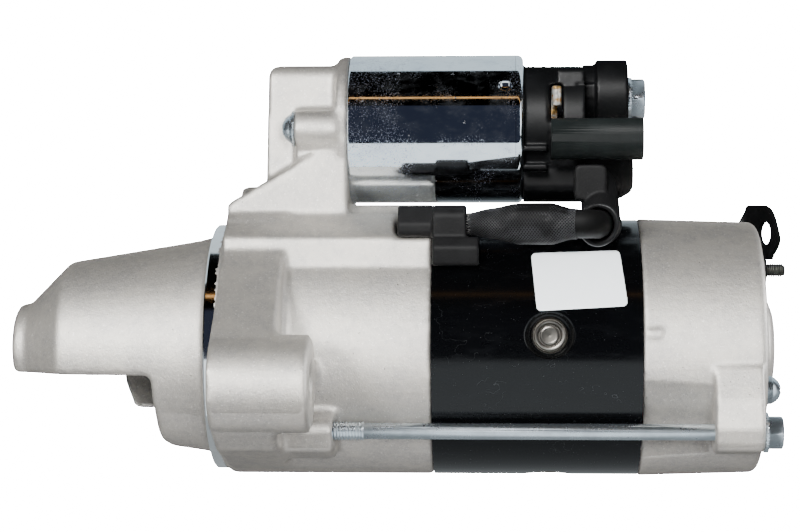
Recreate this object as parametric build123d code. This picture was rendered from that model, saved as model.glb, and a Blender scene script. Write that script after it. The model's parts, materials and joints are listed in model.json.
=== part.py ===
"""Car starter motor with planetary reduction and a plunger solenoid, built as separate pieces.

Row frame, in millimetres: the origin is where the motor axis meets the mounting face. +X runs along
the motor axis from that face to the rear, +Z points up to the solenoid, and +Y completes the frame.
"""
from build123d import *
from math import acos, asin, atan2, cos, degrees, pi, radians, sin, sqrt, tan
import os

# ---------------------------------------------------------------- driving dimensions
YOKE_R = 42.5               # outside radius of the steel motor body
YOKE_BORE_R = 38.0
YOKE_X = (67.5, 134.5)      # front and rear joint faces of the yoke
REAR_FACE_X = 174.0         # rear face of the end cover
EAR_X = (156.8, 172.4)      # its two ears; the through-bolt heads sit on their rear faces
PILOT_R = 41.0              # spigot that centres the starter in the bell housing
PILOT_LENGTH = 5.5
NOSE_X = -73.8              # front end of the nose
NOSE_FLOOR_Z = -34.4        # flat under the closed part of the nose
OPENING_Z = -8.6            # lower edge of the nose wall, above the ring gear
FLANGE_T = 20.0
MOUNT_BOLT_R = 5.25         # clearance hole for an M10 bolt
NEAR_LUG = (-58.5, -9.5)    # mounting lugs, as (y, z)
FAR_LUG = (46.0, 38.0)
LUG_R = 15.5
LUG_DEPTH = 31.0
TIE = (-38.5, -25.6)        # through-bolt on the near side, as (y, z)
TIE_R = 2.6                 # shank radius of the rolled M6 through-bolts
TIE_FACE_X = 36.8           # where the through-bolts enter the front casting
STUD_SHANK_R = 2.9          # plain shank of the far one, which carries a stud
THREAD_X = (14.5, 46.0)     # their threaded ends
GEAR_BORE_R = 37.6          # bore of the gear case, which holds the ring gear
BRUSH_SCREW = (-24.0, -13.0)  # near one of the two screws of the brush plate, as (y, z)
BRACKET_X = 180.4           # face of the far bolt's tall head, which the harness bracket sits on
BRACKET_T = 1.6
BRACKET_TURN = 24.0
STUD_X = 182.3              # shoulder behind the bracket, where the M5 stud begins

SOL_Z = 73.0                # height of the solenoid axis
SOL_R = 24.75
SOL_X = (39.4, 97.0)
SOL_SCREW_Y = 20.0          # the solenoid's two fixing screws, each side of its axis
SOL_SCREW_Z = 72.1
SOL_SCREW_X = 22.1          # front faces of their bosses
PLUNGER_R = 9.2
PLUNGER_TRAVEL = 9.5
PLUNGER_END_X = 64.0        # rear end of the plunger at rest
SPRING_SEAT_X = 50.0        # bottom of the plunger's rear bore, which holds the return spring
CORE_FACE_X = PLUNGER_END_X + PLUNGER_TRAVEL + 0.2
CONTACT_TRAVEL = 3.1
CAP_X = (105.8, 117.0)      # front of the terminal cap's thick part, and its rear face
B_TERMINAL = (4.0, 83.2)    # battery and motor terminals, as (y, z)
M_TERMINAL = (-3.0, 58.0)

LEAD_X0 = 78.5              # where the motor lead leaves the grommet's lobe
LEAD_START = Vector(LEAD_X0, -31.0, 40.6)
LEAD_BEND = Vector(119.6, -39.2, 40.3)      # corner where it turns into the boot
MOUTH = Vector(120.6, -33.6, 40.3)          # centre of the boot's mouth
MOUTH_DIRECTION = Vector(-0.2, -0.98, 0).normalized()
MOUTH_R = 6.9
GROMMET_Z = 36.0            # floor of the notch that holds the grommet

PIVOT = (27.0, 47.0)        # shift lever pivot, as (x, z)
UPPER_ARM = SOL_Z - PIVOT[1]
HALF_SWING = degrees(asin(PLUNGER_TRAVEL / 2 / UPPER_ARM))
FORK_MID_X = 20.0           # fork position half way through its travel
CLUTCH_TRAVEL = 2 * PIVOT[1] * sin(radians(HALF_SWING))

MODULE = 1.25               # planetary gear set
SUN_TEETH, PLANET_TEETH, RING_TEETH = 12, 15, 42
PLANETS = 3
GEAR_X = (39.5, 51.5)
CARRIER_R = MODULE * (SUN_TEETH + PLANET_TEETH) / 2
PINION_MODULE = 2.54
PINION_TEETH = 10
PINION_X = (-27.5, -11.5)
SNAP_RING_X = (-49.0, -47.4)

ARMATURE_R = 28.5
CORE_X = (80.0, 130.0)
POLE_R = 29.1
POLE_ANGLES = [-7 + 90 * k for k in range(4)]
COMMUTATOR_X = (144.0, 160.0)
COMMUTATOR_R = 16.5
BRUSH_X = (146.0, 156.0)
BRUSH_BACK_R = 27.5         # outer end of a new brush
BRUSH_ANGLES = [52 + 90 * k for k in range(4)]

HOUSING_Y = 14.0            # half width of the lever chamber
HOUSING_X0 = 12.6
HOUSING_TOP_Z = 93.7
CHAMBER_Y = 10.0            # half width of its cavity
RUN = 0.05                  # radial running clearance

# ---------------------------------------------------------------- shape helpers


def bar(r, x0, x1, y=0.0, z=0.0):
    """Solid round bar along X."""
    return Pos((x0 + x1) / 2, y, z) * Rot(0, 90, 0) * Cylinder(r, x1 - x0)


def tube(r_out, r_in, x0, x1, y=0.0, z=0.0):
    """Round tube along X."""
    return bar(r_out, x0, x1, y, z) - bar(r_in, x0 - 1, x1 + 1, y, z)


def slab(x0, x1, y0, y1, z0, z1):
    """Box given by its limits."""
    return Pos((x0 + x1) / 2, (y0 + y1) / 2, (z0 + z1) / 2) * Box(x1 - x0, y1 - y0, z1 - z0)


def outline(points, radii=None):
    """Closed face from corner points, each corner rounded by its own radius."""
    if radii is None:
        return make_face(Polyline(*points, close=True))
    return make_face(FilletPolyline(*points, radius=radii, close=True))


def along_x(face, x0, x1):
    """Extrudes a face drawn in (y, z) from x0 to x1."""
    return extrude(Plane.YZ.offset(x0) * face, amount=x1 - x0)


def along_y(face, y0, y1):
    """Extrudes a face drawn in (x, z) from y0 to y1."""
    return extrude(Plane.XZ.offset(-y0) * face, amount=-(y1 - y0))


def turned(points, radii=None, y=0.0, z=0.0):
    """Solid of revolution about an axis parallel to X, from (x, r) points."""
    return Pos(0, y, z) * revolve(Plane.XZ * outline(points, radii), Axis.X)


def dome(r, height, x0, side, y, z):
    """Round cap along X: flat base of radius r at x0, bulging towards +X or -X by side."""
    ball_r = (r * r + height * height) / (2 * height)
    half = asin(r / ball_r) / 2
    middle = (x0 + side * (height - ball_r * (1 - cos(half))), ball_r * sin(half))
    tip = (x0 + side * height, 0)
    profile = make_face(Polyline(tip, (x0, 0), (x0, r)) + ThreePointArc((x0, r), middle, tip))
    return Pos(0, y, z) * revolve(Plane.XZ * profile, Axis.X)


def about_x(shape, angle):
    """Turns a shape about the motor axis, positive from +Y towards +Z."""
    return Rot(angle, 0, 0) * shape


def joined(shapes):
    """Fuses a list of shapes into one."""
    total = shapes[0]
    for shape in shapes[1:]:
        total = total + shape
    return total


def sector(r_out, r_in, x0, x1, half_angle, mid_angle=0.0):
    """Part of a tube about the motor axis, centred on an angle from +Y."""
    far = 2 * r_out
    reach = far * tan(radians(half_angle))
    wedge = outline([(0, 0), (far, -reach), (far, reach)])
    piece = tube(r_out, r_in, x0, x1) & along_x(wedge, x0 - 1, x1 + 1)
    return about_x(piece, mid_angle)


def hexagon(across_flats):
    return RegularPolygon(across_flats / 2, 6, major_radius=False)


def hex_head(across_flats, x0, x1, y, z, crown_front=False):
    """Hexagon prism along X with its rear corners, and the front ones if asked, turned to a cone."""
    prism = along_x(Pos(y, z) * hexagon(across_flats), x0, x1)
    corner = across_flats / sqrt(3)
    flat = across_flats * 0.47
    drop = (corner + 0.5 - flat) * tan(radians(30))
    front = [(x0, 0), (x0, corner + 0.5)]
    if crown_front:
        front = [(x0, 0), (x0, flat), (x0 + drop, corner + 0.5)]
    rear = [(x1 - drop, corner + 0.5), (x1, flat), (x1, 0)]
    return prism & turned(front + rear, None, y, z)


def involute_gear(module, teeth, addendum, dedendum, backlash, turn, pressure=25.0):
    """Gear face in (y, z), its first tooth centred on the angle turn."""
    pitch_r = module * teeth / 2
    base_r = pitch_r * cos(radians(pressure))
    tip_r = pitch_r + addendum * module
    root_r = pitch_r - dedendum * module
    involute = tan(radians(pressure)) - radians(pressure)
    half = pi / (2 * teeth) - backlash / (2 * pitch_r)
    start_r = max(base_r, root_r + 0.05 * module)
    flank = []
    for step in range(5):
        r = start_r + (tip_r - start_r) * step / 4
        roll = acos(min(1.0, base_r / r))
        flank.append((r, half + involute - (tan(roll) - roll)))
    flank.insert(0, (root_r, flank[0][1]))
    points = []
    for tooth in range(teeth):
        centre = radians(turn) + 2 * pi * tooth / teeth
        for r, a in flank:
            points.append((r * cos(centre - a), r * sin(centre - a)))
        for r, a in reversed(flank):
            points.append((r * cos(centre + a), r * sin(centre + a)))
    return outline(points)


# ---------------------------------------------------------------- castings


def drive_end_housing():
    """One casting: nose, pilot, flange with two lugs, gear case, solenoid seat and lever chamber."""
    nose = turned(
        [(NOSE_X, 0), (NOSE_X, 14.0), (-69.2, 14.5), (-55.2, 28.5), (-12, 35.6), (-4.0, 37.6), (2, 37.6),
         (2, 0)],
        [0, 2.6, 4, 5, 8, 0, 0, 0])
    nose = nose & slab(NOSE_X - 1, 3, -60, 60, NOSE_FLOOR_Z, 60)
    pilot = turned([(-PILOT_LENGTH, 0), (-PILOT_LENGTH, PILOT_R - 0.5), (0.5 - PILOT_LENGTH, PILOT_R),
                    (1, PILOT_R), (1, 0)])
    case = bar(YOKE_R, 0, YOKE_X[0])
    shoulder = outline([(-33, 10), (-33, 36), (-30.5, 38), (-21, 44.2), (21, 44.2), (30.5, 38), (33, 36),
                        (33, 10)],
                       [0, 1.5, 3, 2, 2, 3, 1.5, 0])
    seat_block = slab(30, YOKE_X[0], -15, 15, 30, 47.2)
    near_web = outline([(-15, 42), (-24, 43.5), (-34, 31.5), (-55, 13), (-66, 3), (-74, -9.5), (-62, -24.6),
                        (-50, -31), (-30, -36.5), (-10, -41)], [0, 2, 6, 20, 10, 13, 10, 12, 10, 0])
    far_web = outline([(-5, 40), (6, 46.5), (18.5, 54.6), (34, 54.6), (50, 52), (61.5, 38), (51, 23.5),
                       (41, 10), (20, 10)], [0, 8, 3, 16, 13, 13, 12, 0, 0])
    tie_y, tie_z = TIE
    bosses = [along_x(far_web, 0, FLANGE_T - 6), along_x(near_web, 0, FLANGE_T),
              bar(LUG_R - 0.3, 0, LUG_DEPTH, *NEAR_LUG), bar(LUG_R - 1, 0, LUG_DEPTH - 6, *FAR_LUG)]
    for side in (1, -1):
        ear = outline([(tie_y - 6.2, tie_z + 2), (tie_y - 3.2, tie_z - 6.2), (tie_y + 10, tie_z - 10),
                       (tie_y + 14, tie_z), (tie_y + 2, tie_z + 8)], [4, 4, 0, 0, 4])
        ear = along_x(ear, 0, TIE_FACE_X)
        bosses.append(ear if side == 1 else about_x(ear, 180))
    hood = along_y(outline([(0, 36), (0, 47.5), (HOUSING_X0 + 26.8, 70.5), (HOUSING_X0 + 26.8, 36)]), -22, 22)
    chamber = outline([(-HOUSING_Y, 40), (-HOUSING_Y, HOUSING_TOP_Z), (HOUSING_Y, HOUSING_TOP_Z),
                       (HOUSING_Y, 40)],
                      [0, 5, 5, 0])
    chamber = along_x(chamber, HOUSING_X0 - 1, SOL_X[0])
    chamber = chamber & along_y(outline([(HOUSING_X0 - 0.9, 40), (HOUSING_X0, HOUSING_TOP_Z),
                                         (45, HOUSING_TOP_Z + 1.2), (45, 30), (HOUSING_X0 - 0.9, 30)],
                                        [0, 3.5, 0, 0, 0]), -30, 30)
    seat = turned([(35.2, 0), (35.2, SOL_R - 0.3), (SOL_X[0], SOL_R - 0.3), (SOL_X[0], 0)],
                  [0, 1.6, 0, 0], 0, SOL_Z)
    screw_bosses = [bar(6.0, SOL_SCREW_X, 36, side * SOL_SCREW_Y, SOL_SCREW_Z) for side in (-1, 1)]
    screw_bosses.append(slab(SOL_SCREW_X, 36, -SOL_SCREW_Y, SOL_SCREW_Y, 62, SOL_SCREW_Z + 6))
    body = joined([case, nose, pilot, along_x(shoulder, 0, YOKE_X[0]), seat_block, *bosses, hood, chamber,
                   seat, *screw_bosses])

    cavity = turned([(-71.5, 0), (-71.5, 7.2), (-59, 7.2), (-59, 11.0), (-52, 22.5), (-46, 25.3),
                     (-30, 28.0), (2, 29.0), (10, 29.0), (10, 37.0), (38, 37.0), (38, GEAR_BORE_R),
                     (58, GEAR_BORE_R), (58, YOKE_BORE_R + 0.4),
                     (YOKE_X[0] + 1, YOKE_BORE_R + 0.4), (YOKE_X[0] + 1, 0)])
    body = body - cavity
    # lever chamber, the plunger's way in, and the slot down to the clutch
    body = body - slab(HOUSING_X0 + 3.4, 36, -CHAMBER_Y, CHAMBER_Y, 28, HOUSING_TOP_Z - 4.5)
    body = body - bar(13.5, 33, SOL_X[0] + 1, 0, SOL_Z)
    # the nose is open below for the ring gear; its far wall reaches further forward and lower
    near_cut = outline([(NOSE_X - 5, OPENING_Z), (-23.6, OPENING_Z), (-23.4, -32.6), (-8, NOSE_FLOOR_Z),
                        (-8, -60), (NOSE_X - 5, -60)], [0, 2.5, 5.5, 0, 0, 0])
    far_cut = outline([(NOSE_X - 5, OPENING_Z), (-43.2, OPENING_Z), (-41.2, -14.5), (-37.4, -22.2),
                       (-23.5, -22.2), (-23.4, -32.6), (-8, NOSE_FLOOR_Z), (-8, -60), (NOSE_X - 5, -60)],
                      [0, 2, 5, 4, 1.5, 5.5, 0, 0, 0])
    body = body - along_y(near_cut, -60, 0) - along_y(far_cut, 0, 60)
    # machined holes
    for (y, z), depth in ((NEAR_LUG, LUG_DEPTH), (FAR_LUG, LUG_DEPTH - 6)):
        body = body - bar(MOUNT_BOLT_R, -1, depth + 1, y, z)
        chamfer = [(depth - 0.8, 0), (depth - 0.8, MOUNT_BOLT_R), (depth + 0.2, MOUNT_BOLT_R + 1.0),
                   (depth + 0.2, 0)]
        body = body - turned(chamfer, None, y, z)
    for side in (1, -1):
        body = body - bar(3.0, 14, TIE_FACE_X + 1, side * tie_y, side * tie_z)
        body = body - bar(2.5, 20, 45, side * SOL_SCREW_Y, SOL_SCREW_Z)
    body = body - Pos(PIVOT[0], 0, PIVOT[1]) * Rot(90, 0, 0) * Cylinder(3.0, 28)
    # notch in the shoulder that holds the lead's grommet
    body = body - slab(55.5, YOKE_X[0] + 1, -40, -22, GROMMET_Z, 50)
    return body


def commutator_end_cover():
    """Rear casting: cup for the brush gear, bearing boss and an ear for each through-bolt."""
    x0, x1 = YOKE_X[1], REAR_FACE_X
    shell = turned([(x0, 0), (x0, YOKE_R + 0.3), (x1, 41.6), (x1, 0)], [0, 0, 2.8, 0])
    boss = turned([(x1 - 2, 0), (x1 - 2, 19.5), (x1 + 3.2, 17.5), (x1 + 5.4, 12.0), (x1 + 5.4, 0)],
                  [0, 0, 3, 3, 0])
    tie_y, tie_z = TIE
    body = shell
    for side in (1, -1):
        # flat that lets the through-bolt pass, then the ear that takes its head
        tie_angle = degrees(atan2(tie_z, tie_y)) + (0 if side == 1 else 180)
        flat = slab(x0 - 6, EAR_X[0] + 0.6, 39.8, 50, -16, 16)
        flat = fillet(flat.edges().filter_by(Axis.Y), 2.6)
        body = body - about_x(flat, tie_angle)
        ear = outline([(-46.4, -24), (-44.6, -31.0), (-33, -33.2), (-25, -20), (-36, -4.0), (-42.4, -4.6),
                       (-45.6, -15)], [3.5, 4, 0, 0, 0, 0, 7])
        ear = along_x(ear, *EAR_X)
        body = body + (ear if side == 1 else about_x(ear, 180))
        body = body - bar(6.9, EAR_X[1], x1 + 1, side * tie_y, side * tie_z)
    body = body + boss
    mark = Pos(x0 + 3.2, 0, 0) * slab(-2.4, 2.4, -YOKE_R - 0.55, -YOKE_R + 3, 4.6, 6.6)
    body = body + mark
    cavity = turned([(x0 - 1, 0), (x0 - 1, YOKE_BORE_R + 0.05), (x1 - 4, YOKE_BORE_R + 0.05),
                     (x1 - 4, 16.0), (x1 - 8, 16.0), (x1 - 8, 13.0),
                     (x1 + 1.2, 13.0), (x1 + 1.2, 5.6), (x1 + 3.0, 5.6), (x1 + 3.0, 0)])
    hub = tube(16.5, 13.0, x1 - 8, x1 - 3)
    body = (body - cavity) + hub
    for side in (1, -1):
        body = body - bar(3.0, EAR_X[0] - 1, x1 + 1, side * tie_y, side * tie_z)
        body = body - bar(2.0, x1 - 6, x1 + 1, side * BRUSH_SCREW[0], side * BRUSH_SCREW[1])
    return body


# ---------------------------------------------------------------- motor body


def yoke():
    """Rolled steel field frame with countersunk pole screw holes and a notch for the lead."""
    x0, x1 = YOKE_X
    body = tube(YOKE_R, YOKE_BORE_R, x0, x1)
    for angle in POLE_ANGLES:
        hole = Pos((CORE_X[0] + CORE_X[1]) / 2, YOKE_R - 4, 0) * Rot(-90, 0, 0) * Cylinder(3.0, 14)
        dish = Pos((CORE_X[0] + CORE_X[1]) / 2, YOKE_R - 0.5, 0) * Rot(-90, 0, 0) * Cone(6.4, 9.2, 3.0)
        body = body - about_x(hole, angle) - about_x(dish, angle)
    return body - slab(x0 - 1, x0 + 9, -36, -22, 27, 45)


def pole_shoes():
    """Four soft iron poles, each a body with wider tips at the air gap."""
    shoes = []
    for angle in POLE_ANGLES:
        body = sector(YOKE_BORE_R, POLE_R, *CORE_X, 19)
        tips = sector(31.6, POLE_R, *CORE_X, 33)
        thread = Pos(sum(CORE_X) / 2, YOKE_R - 4, 0) * Rot(-90, 0, 0) * Cylinder(3.0, 14)
        shoes.append(about_x((body + tips) - thread, angle))
    return Compound(children=shoes)


def field_coils():
    """Four taped field coils, one round each pole."""
    coils = []
    for angle in POLE_ANGLES:
        ring = sector(YOKE_BORE_R - 0.3, 32.0, CORE_X[0] - 6.5, CORE_X[1] + 6.5, 41)
        window = sector(YOKE_BORE_R + 1, 30.0, CORE_X[0] - 0.5, CORE_X[1] + 0.5, 20)
        coils.append(about_x(ring - window, angle))
    return Compound(children=coils)


def pole_screws():
    """Four countersunk pole screws with a hexagon socket."""
    mid_x = sum(CORE_X) / 2
    screws = []
    for angle in POLE_ANGLES:
        top = YOKE_R - 0.6
        head = Pos(mid_x, top - 0.7, 0) * Rot(-90, 0, 0) * Cylinder(5.7, 1.4)
        shank = Pos(mid_x, top - 5.4, 0) * Rot(-90, 0, 0) * Cylinder(3.0, 9)
        socket = Pos(mid_x, top - 1.0, 0) * Rot(-90, 0, 0) * extrude(hexagon(5.0), amount=3)
        rim = Pos(mid_x, top - 0.2, 0) * Rot(-90, 0, 0) * (Cylinder(4.4, 0.5) - Cylinder(3.6, 1))
        screws.append(about_x(head + shank - socket - rim, angle))
    return Compound(children=screws)


def label():
    """Blank label stuck on the yoke, with rounded corners."""
    skin = tube(YOKE_R + 0.15, YOKE_R, 99.0, 131.5)
    shape = outline([(101.0, 12.7), (99.2, 31.1), (127.6, 32.0), (129.7, 14.3)], [1.5, 1.5, 1.5, 1.5])
    return skin & along_y(shape, -60, -10)


# ---------------------------------------------------------------- armature


def armature_shaft():
    """Steel shaft with the sun gear cut on its front end."""
    body = turned([(37, 0), (37, 4.2), (39.2, 4.2), (39.2, 5.2), (52, 5.2), (52, 6.0), (63, 6.0), (63, 8.0),
                   (140, 8.0), (140, 6.4), (165.6, 6.4), (165.6, 5.0), (175.6, 5.0), (175.6, 0)])
    sun = involute_gear(MODULE, SUN_TEETH, 0.8, 1.05, 0.16, 90.0)
    return body + along_x(sun, GEAR_X[0], GEAR_X[1] + 0.5)


def armature_core():
    """Stack of slotted laminations."""
    slots = 21
    body = bar(ARMATURE_R, *CORE_X)
    groove = slab(CORE_X[0] - 1, CORE_X[1] + 1, ARMATURE_R - 7, ARMATURE_R + 2, -1.0, 1.0)
    for k in range(slots):
        body = body - about_x(groove, 360 * k / slots)
    return body - bar(8.0, CORE_X[0] - 1, CORE_X[1] + 1)


def armature_winding():
    """End turns on both sides of the core, as two flared rings."""
    front = turned([(66.5, 12), (68, 24), (74, 27.2), (80, 27.2), (80, 10), (68, 10)])
    rear = turned([(130, 10), (130, 27.2), (136, 27), (142, 20), (143, 17), (143, 10)])
    return Compound(children=[front, rear])


def commutator():
    """Copper segments parted by shallow slots, with risers at the front."""
    bars = 21
    x0, x1 = COMMUTATOR_X
    body = turned([(x0 - 0.5, 8), (x0 - 0.5, COMMUTATOR_R + 0.4), (x0 + 1.3, COMMUTATOR_R + 0.4),
                   (x0 + 1.3, COMMUTATOR_R), (x1, COMMUTATOR_R), (x1, 8)])
    groove = slab(x0 - 1, x1 + 1, COMMUTATOR_R - 1.0, COMMUTATOR_R + 2, -0.35, 0.35)
    for k in range(bars):
        body = body - about_x(groove, 360 * (k + 0.5) / bars)
    return body - bar(8.0, x0 - 1, x1 + 1)


def bearings():
    """Ball bearings at the partition and in the rear cover: outer races, inner races, balls."""
    places = [(54.0, 62.0, 6.0, 14.0), (166.0, 174.0, 5.0, 13.0)]
    outer, inner, balls = [], [], []
    for x0, x1, r_in, r_out in places:
        mid_x, mid_r = (x0 + x1) / 2, (r_in + r_out) / 2
        ball_r = (r_out - r_in) * 0.27
        groove = revolve(Plane.XZ * Pos(mid_x, mid_r) * Circle(ball_r + RUN), Axis.X)
        outer.append(tube(r_out, mid_r + 1.4, x0, x1) - groove)
        inner.append(tube(mid_r - 1.4, r_in, x0, x1) - groove)
        for k in range(8):
            balls.append(about_x(Pos(mid_x, mid_r, 0) * Sphere(ball_r), 45 * k))
    return Compound(children=outer), Compound(children=inner), Compound(children=balls)


# ---------------------------------------------------------------- planetary reduction


def planet_angle(k):
    return 90.0 + 360.0 * k / PLANETS


def planet_turn(k):
    """Turn of a planet's first tooth so that it meshes with the sun gear."""
    angle = planet_angle(k)
    sun_pitch, planet_pitch = 360 / SUN_TEETH, 360 / PLANET_TEETH
    phase = ((angle - 90.0) / sun_pitch) % 1.0
    return angle + 180 - planet_pitch * (0.5 - phase)


def planet_gear(k):
    angle = radians(planet_angle(k))
    y, z = CARRIER_R * cos(angle), CARRIER_R * sin(angle)
    face = involute_gear(MODULE, PLANET_TEETH, 0.8, 1.05, 0.16, planet_turn(k))
    return along_x(Pos(y, z) * face, *GEAR_X) - bar(3.5, GEAR_X[0] - 1, GEAR_X[1] + 1, y, z)


def ring_gear():
    """Internal gear, held in the gear case by its rim."""
    planet_pitch, ring_pitch = 360 / PLANET_TEETH, 360 / RING_TEETH
    phase = ((planet_angle(0) - planet_turn(0)) / planet_pitch) % 1.0
    turn = planet_angle(0) - ring_pitch * (phase + 0.5)
    # the gap is the shape of an external gear with as many teeth, opened up by the backlash
    gaps = involute_gear(MODULE, RING_TEETH, 1.05, 0.8, -0.16, turn + ring_pitch / 2)
    rim = bar(GEAR_BORE_R, 38.6, 53.0) - along_x(gaps, 38, 54)
    lugs = [about_x(slab(38.6, 53, 28.5, 33, -2, 2), a) for a in (30, 150, 270)]
    return joined([rim, *[lug & tube(GEAR_BORE_R, 30, 38.6, 53) for lug in lugs]])


def partition_plate():
    """Steel plate behind the gears that carries the front ball bearing."""
    return turned([(53.0, 9.5), (53.0, GEAR_BORE_R), (57.5, GEAR_BORE_R), (57.5, 17), (62.5, 17),
                   (62.5, 14.0), (54.0, 14.0), (54.0, 9.5)])


def output_shaft():
    """Planet carrier and splined output shaft in one forging."""
    spline_teeth = 10
    body = turned([(-69, 0), (-69, 5.7), (-57, 5.7), (-57, 7.0), (-8, 7.0), (-8, 7.8), (34.4, 7.8),
                   (34.4, 22.5), (38.4, 22.5), (38.4, 0)], [0, 0, 0, 0, 0, 0, 0, 1.5, 0, 0])
    for k in range(spline_teeth):
        body = body + about_x(slab(-6, 33.5, 7.0, 8.7, -1.1, 1.1), 360 * k / spline_teeth)
    body = body - tube(9, 6.3, *SNAP_RING_X)
    return body - bar(4.2 + RUN, 36.4, 39)


def planet_pins():
    pins = []
    for k in range(PLANETS):
        angle = radians(planet_angle(k))
        y, z = CARRIER_R * cos(angle), CARRIER_R * sin(angle)
        pins.append(bar(3.5 - RUN, 38.4, 52.0, y, z))
    return Compound(children=pins)


def stop_ring():
    """Collar over a snap ring, which end the pinion's travel."""
    ring = tube(7.9, 6.35, *SNAP_RING_X)
    collar = tube(10.0, 7.0, -50.8, -45.6) - tube(8.0, 6.0, *SNAP_RING_X)
    return Compound(children=[collar, ring])


# ---------------------------------------------------------------- overrunning clutch and pinion


def clutch_housing():
    """Clutch body with its splined sleeve and the two flanges that the lever's fork works between."""
    body = turned([(-9.4, 17.3), (-9.4, 24.4), (14.0, 24.4), (14.0, 13.0), (25.4, 13.0), (25.4, 18.0),
                   (26.4, 18.0), (26.4, 13.0), (31.2, 13.0), (31.2, 18.0), (33.0, 18.0), (33.0, 9.0),
                   (9.2, 9.0), (9.2, 17.3)],
                  [0, 0, 2, 1, 0, 0, 0, 0, 0, 0, 0, 0, 0, 0])
    return body


def clutch_cover():
    """Pressed steel cap rolled over the clutch body."""
    return turned([(-11.2, 12.6), (-11.2, 25.2), (12.0, 25.2), (12.0, 24.4), (-9.4, 24.4), (-9.4, 12.6)],
                  [0, 1.8, 0, 0, 0, 0])


def clutch_rollers():
    rollers = [about_x(bar(3.0, -8.8, 8.6, 14.15, 0), 72 * k) for k in range(5)]
    return Compound(children=rollers)


def pinion():
    """Pinion with chamfered tooth ends, one piece with the clutch's inner race."""
    face = involute_gear(PINION_MODULE, PINION_TEETH, 0.95, 1.15, 0.3, 90.0, 20.0)
    tip_r = PINION_MODULE * (PINION_TEETH / 2 + 0.95)
    x0, x1 = PINION_X
    blank = turned([(x0, 0), (x0, tip_r - 2.2), (x0 + 2.6, tip_r + 0.1), (x1, tip_r + 0.1), (x1, 0)])
    body = along_x(face, x0, x1) & blank
    body = body + bar(12.2, x1 - 0.4, -9.2) + bar(11.05, -9.4, 8.8)
    return body - bar(9.0, -8.2, 10) - bar(7.0 + RUN, x0 - 1, -7)


# ---------------------------------------------------------------- shift lever


def shift_lever():
    """Forked lever drawn half way through its travel, then turned back to rest."""
    x, z = PIVOT
    arm = outline([(x - 1.7, SOL_Z), (x + 1.7, SOL_Z), (x + 1.7, SOL_Z - 7), (x + 5.0, z), (x + 2.0, z - 8),
                   (x - 4, z - 9), (x - 5.0, z), (x - 1.7, SOL_Z - 7)], [0, 0, 8, 3, 3, 3, 3, 8])
    upper = along_y(arm, -3, 3) + Pos(x, 0, SOL_Z) * Rot(90, 0, 0) * Cylinder(2.5, 6)
    hub = Pos(x, 0, z) * Rot(90, 0, 0) * Cylinder(6, 14)
    leg = outline([(x + 3.5, z - 5), (x - 4.5, z - 5), (FORK_MID_X - 3.2, 14), (FORK_MID_X - 3.0, -3),
                   (FORK_MID_X + 3.0, -3), (FORK_MID_X + 3.2, 14)], [2, 2, 6, 2.5, 2.5, 6])
    fork = outline([(-3, z + 3), (3, z + 3), (6.8, z - 6), (8.2, 36), (21.4, 23), (21.4, -5), (18.4, -5),
                    (18.4, 21), (5, 33), (-5, 33), (-18.4, 21), (-18.4, -5), (-21.4, -5), (-21.4, 23),
                    (-8.2, 36), (-6.8, z - 6)])
    legs = along_y(leg, -25, 25) & along_x(fork, 0, 60)
    body = upper + hub + legs
    for side in (-1, 1):
        pad = Pos(FORK_MID_X, side * 16.0, 0) * Rot(90, 0, 0) * Cylinder(2.1, 5.4)
        body = body + pad
    body = body - Pos(x, 0, z) * Rot(90, 0, 0) * Cylinder(3.0 + RUN, 40)
    return Pos(x, 0, z) * Rot(0, -HALF_SWING, 0) * Pos(-x, 0, -z) * body


def lever_pin():
    return Pos(PIVOT[0], 0, PIVOT[1]) * Rot(90, 0, 0) * Cylinder(3.0, 27.8)


# ---------------------------------------------------------------- solenoid


def solenoid_case():
    """Deep-drawn plated can, open at the rear, with one staked dimple."""
    x0, x1 = SOL_X
    body = turned([(x0, 9.6), (x0, SOL_R), (x1, SOL_R), (x1, SOL_R - 3.0), (x1 - 1.4, SOL_R - 3.0),
                   (x1 - 1.4, 22.6), (x0 + 3.4, 22.6), (x0 + 3.4, 9.6)], [0, 0.8, 2.0, 0.4, 0, 0, 0, 0], 0,
                   SOL_Z)
    dimple_angle = radians(149.0)
    ball_at = SOL_R + 0.9
    dimple = Pos(91.0, ball_at * cos(dimple_angle), SOL_Z + ball_at * sin(dimple_angle)) * Sphere(2.5)
    return body - dimple


def coil_bobbin():
    x0 = SOL_X[0] + 3.4
    return turned([(x0, PLUNGER_R + 0.3), (x0, 22.2), (x0 + 1.6, 22.2), (x0 + 1.6, 11.2), (80.4, 11.2),
                   (80.4, 22.2), (82.0, 22.2), (82.0, PLUNGER_R + 0.3)], None, 0, SOL_Z)


def solenoid_coil():
    """Pull-in and hold-in windings as one pack."""
    return turned([(SOL_X[0] + 5.0, 11.2), (SOL_X[0] + 5.0, 21.4), (80.4, 21.4), (80.4, 11.2)], None, 0,
                  SOL_Z)


def solenoid_core():
    """Fixed core with the flange that closes the magnetic circuit."""
    body = turned([(CORE_FACE_X, 2.7), (CORE_FACE_X, PLUNGER_R + 0.3), (82.0, PLUNGER_R + 0.3),
                   (82.0, 22.6), (87.6, 22.6), (87.6, 2.7)], None, 0, SOL_Z)
    return body


def plunger():
    """Soft iron plunger with a slotted hook for the lever."""
    stem_x0 = 16.6
    lever_x = PIVOT[0] - UPPER_ARM * sin(radians(HALF_SWING))
    body = turned([(stem_x0, 0), (stem_x0, 4.6), (31, 4.6), (31, PLUNGER_R), (PLUNGER_END_X, PLUNGER_R),
                   (PLUNGER_END_X, 0)], [0, 1.0, 0, 1.0, 0.8, 0], 0, SOL_Z)
    body = body - bar(5.2, SPRING_SEAT_X, PLUNGER_END_X + 1, 0, SOL_Z)
    return body - slab(lever_x - 2.9, lever_x + 2.9, -3.3, 3.3, SOL_Z - 12, SOL_Z + 12)


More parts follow.
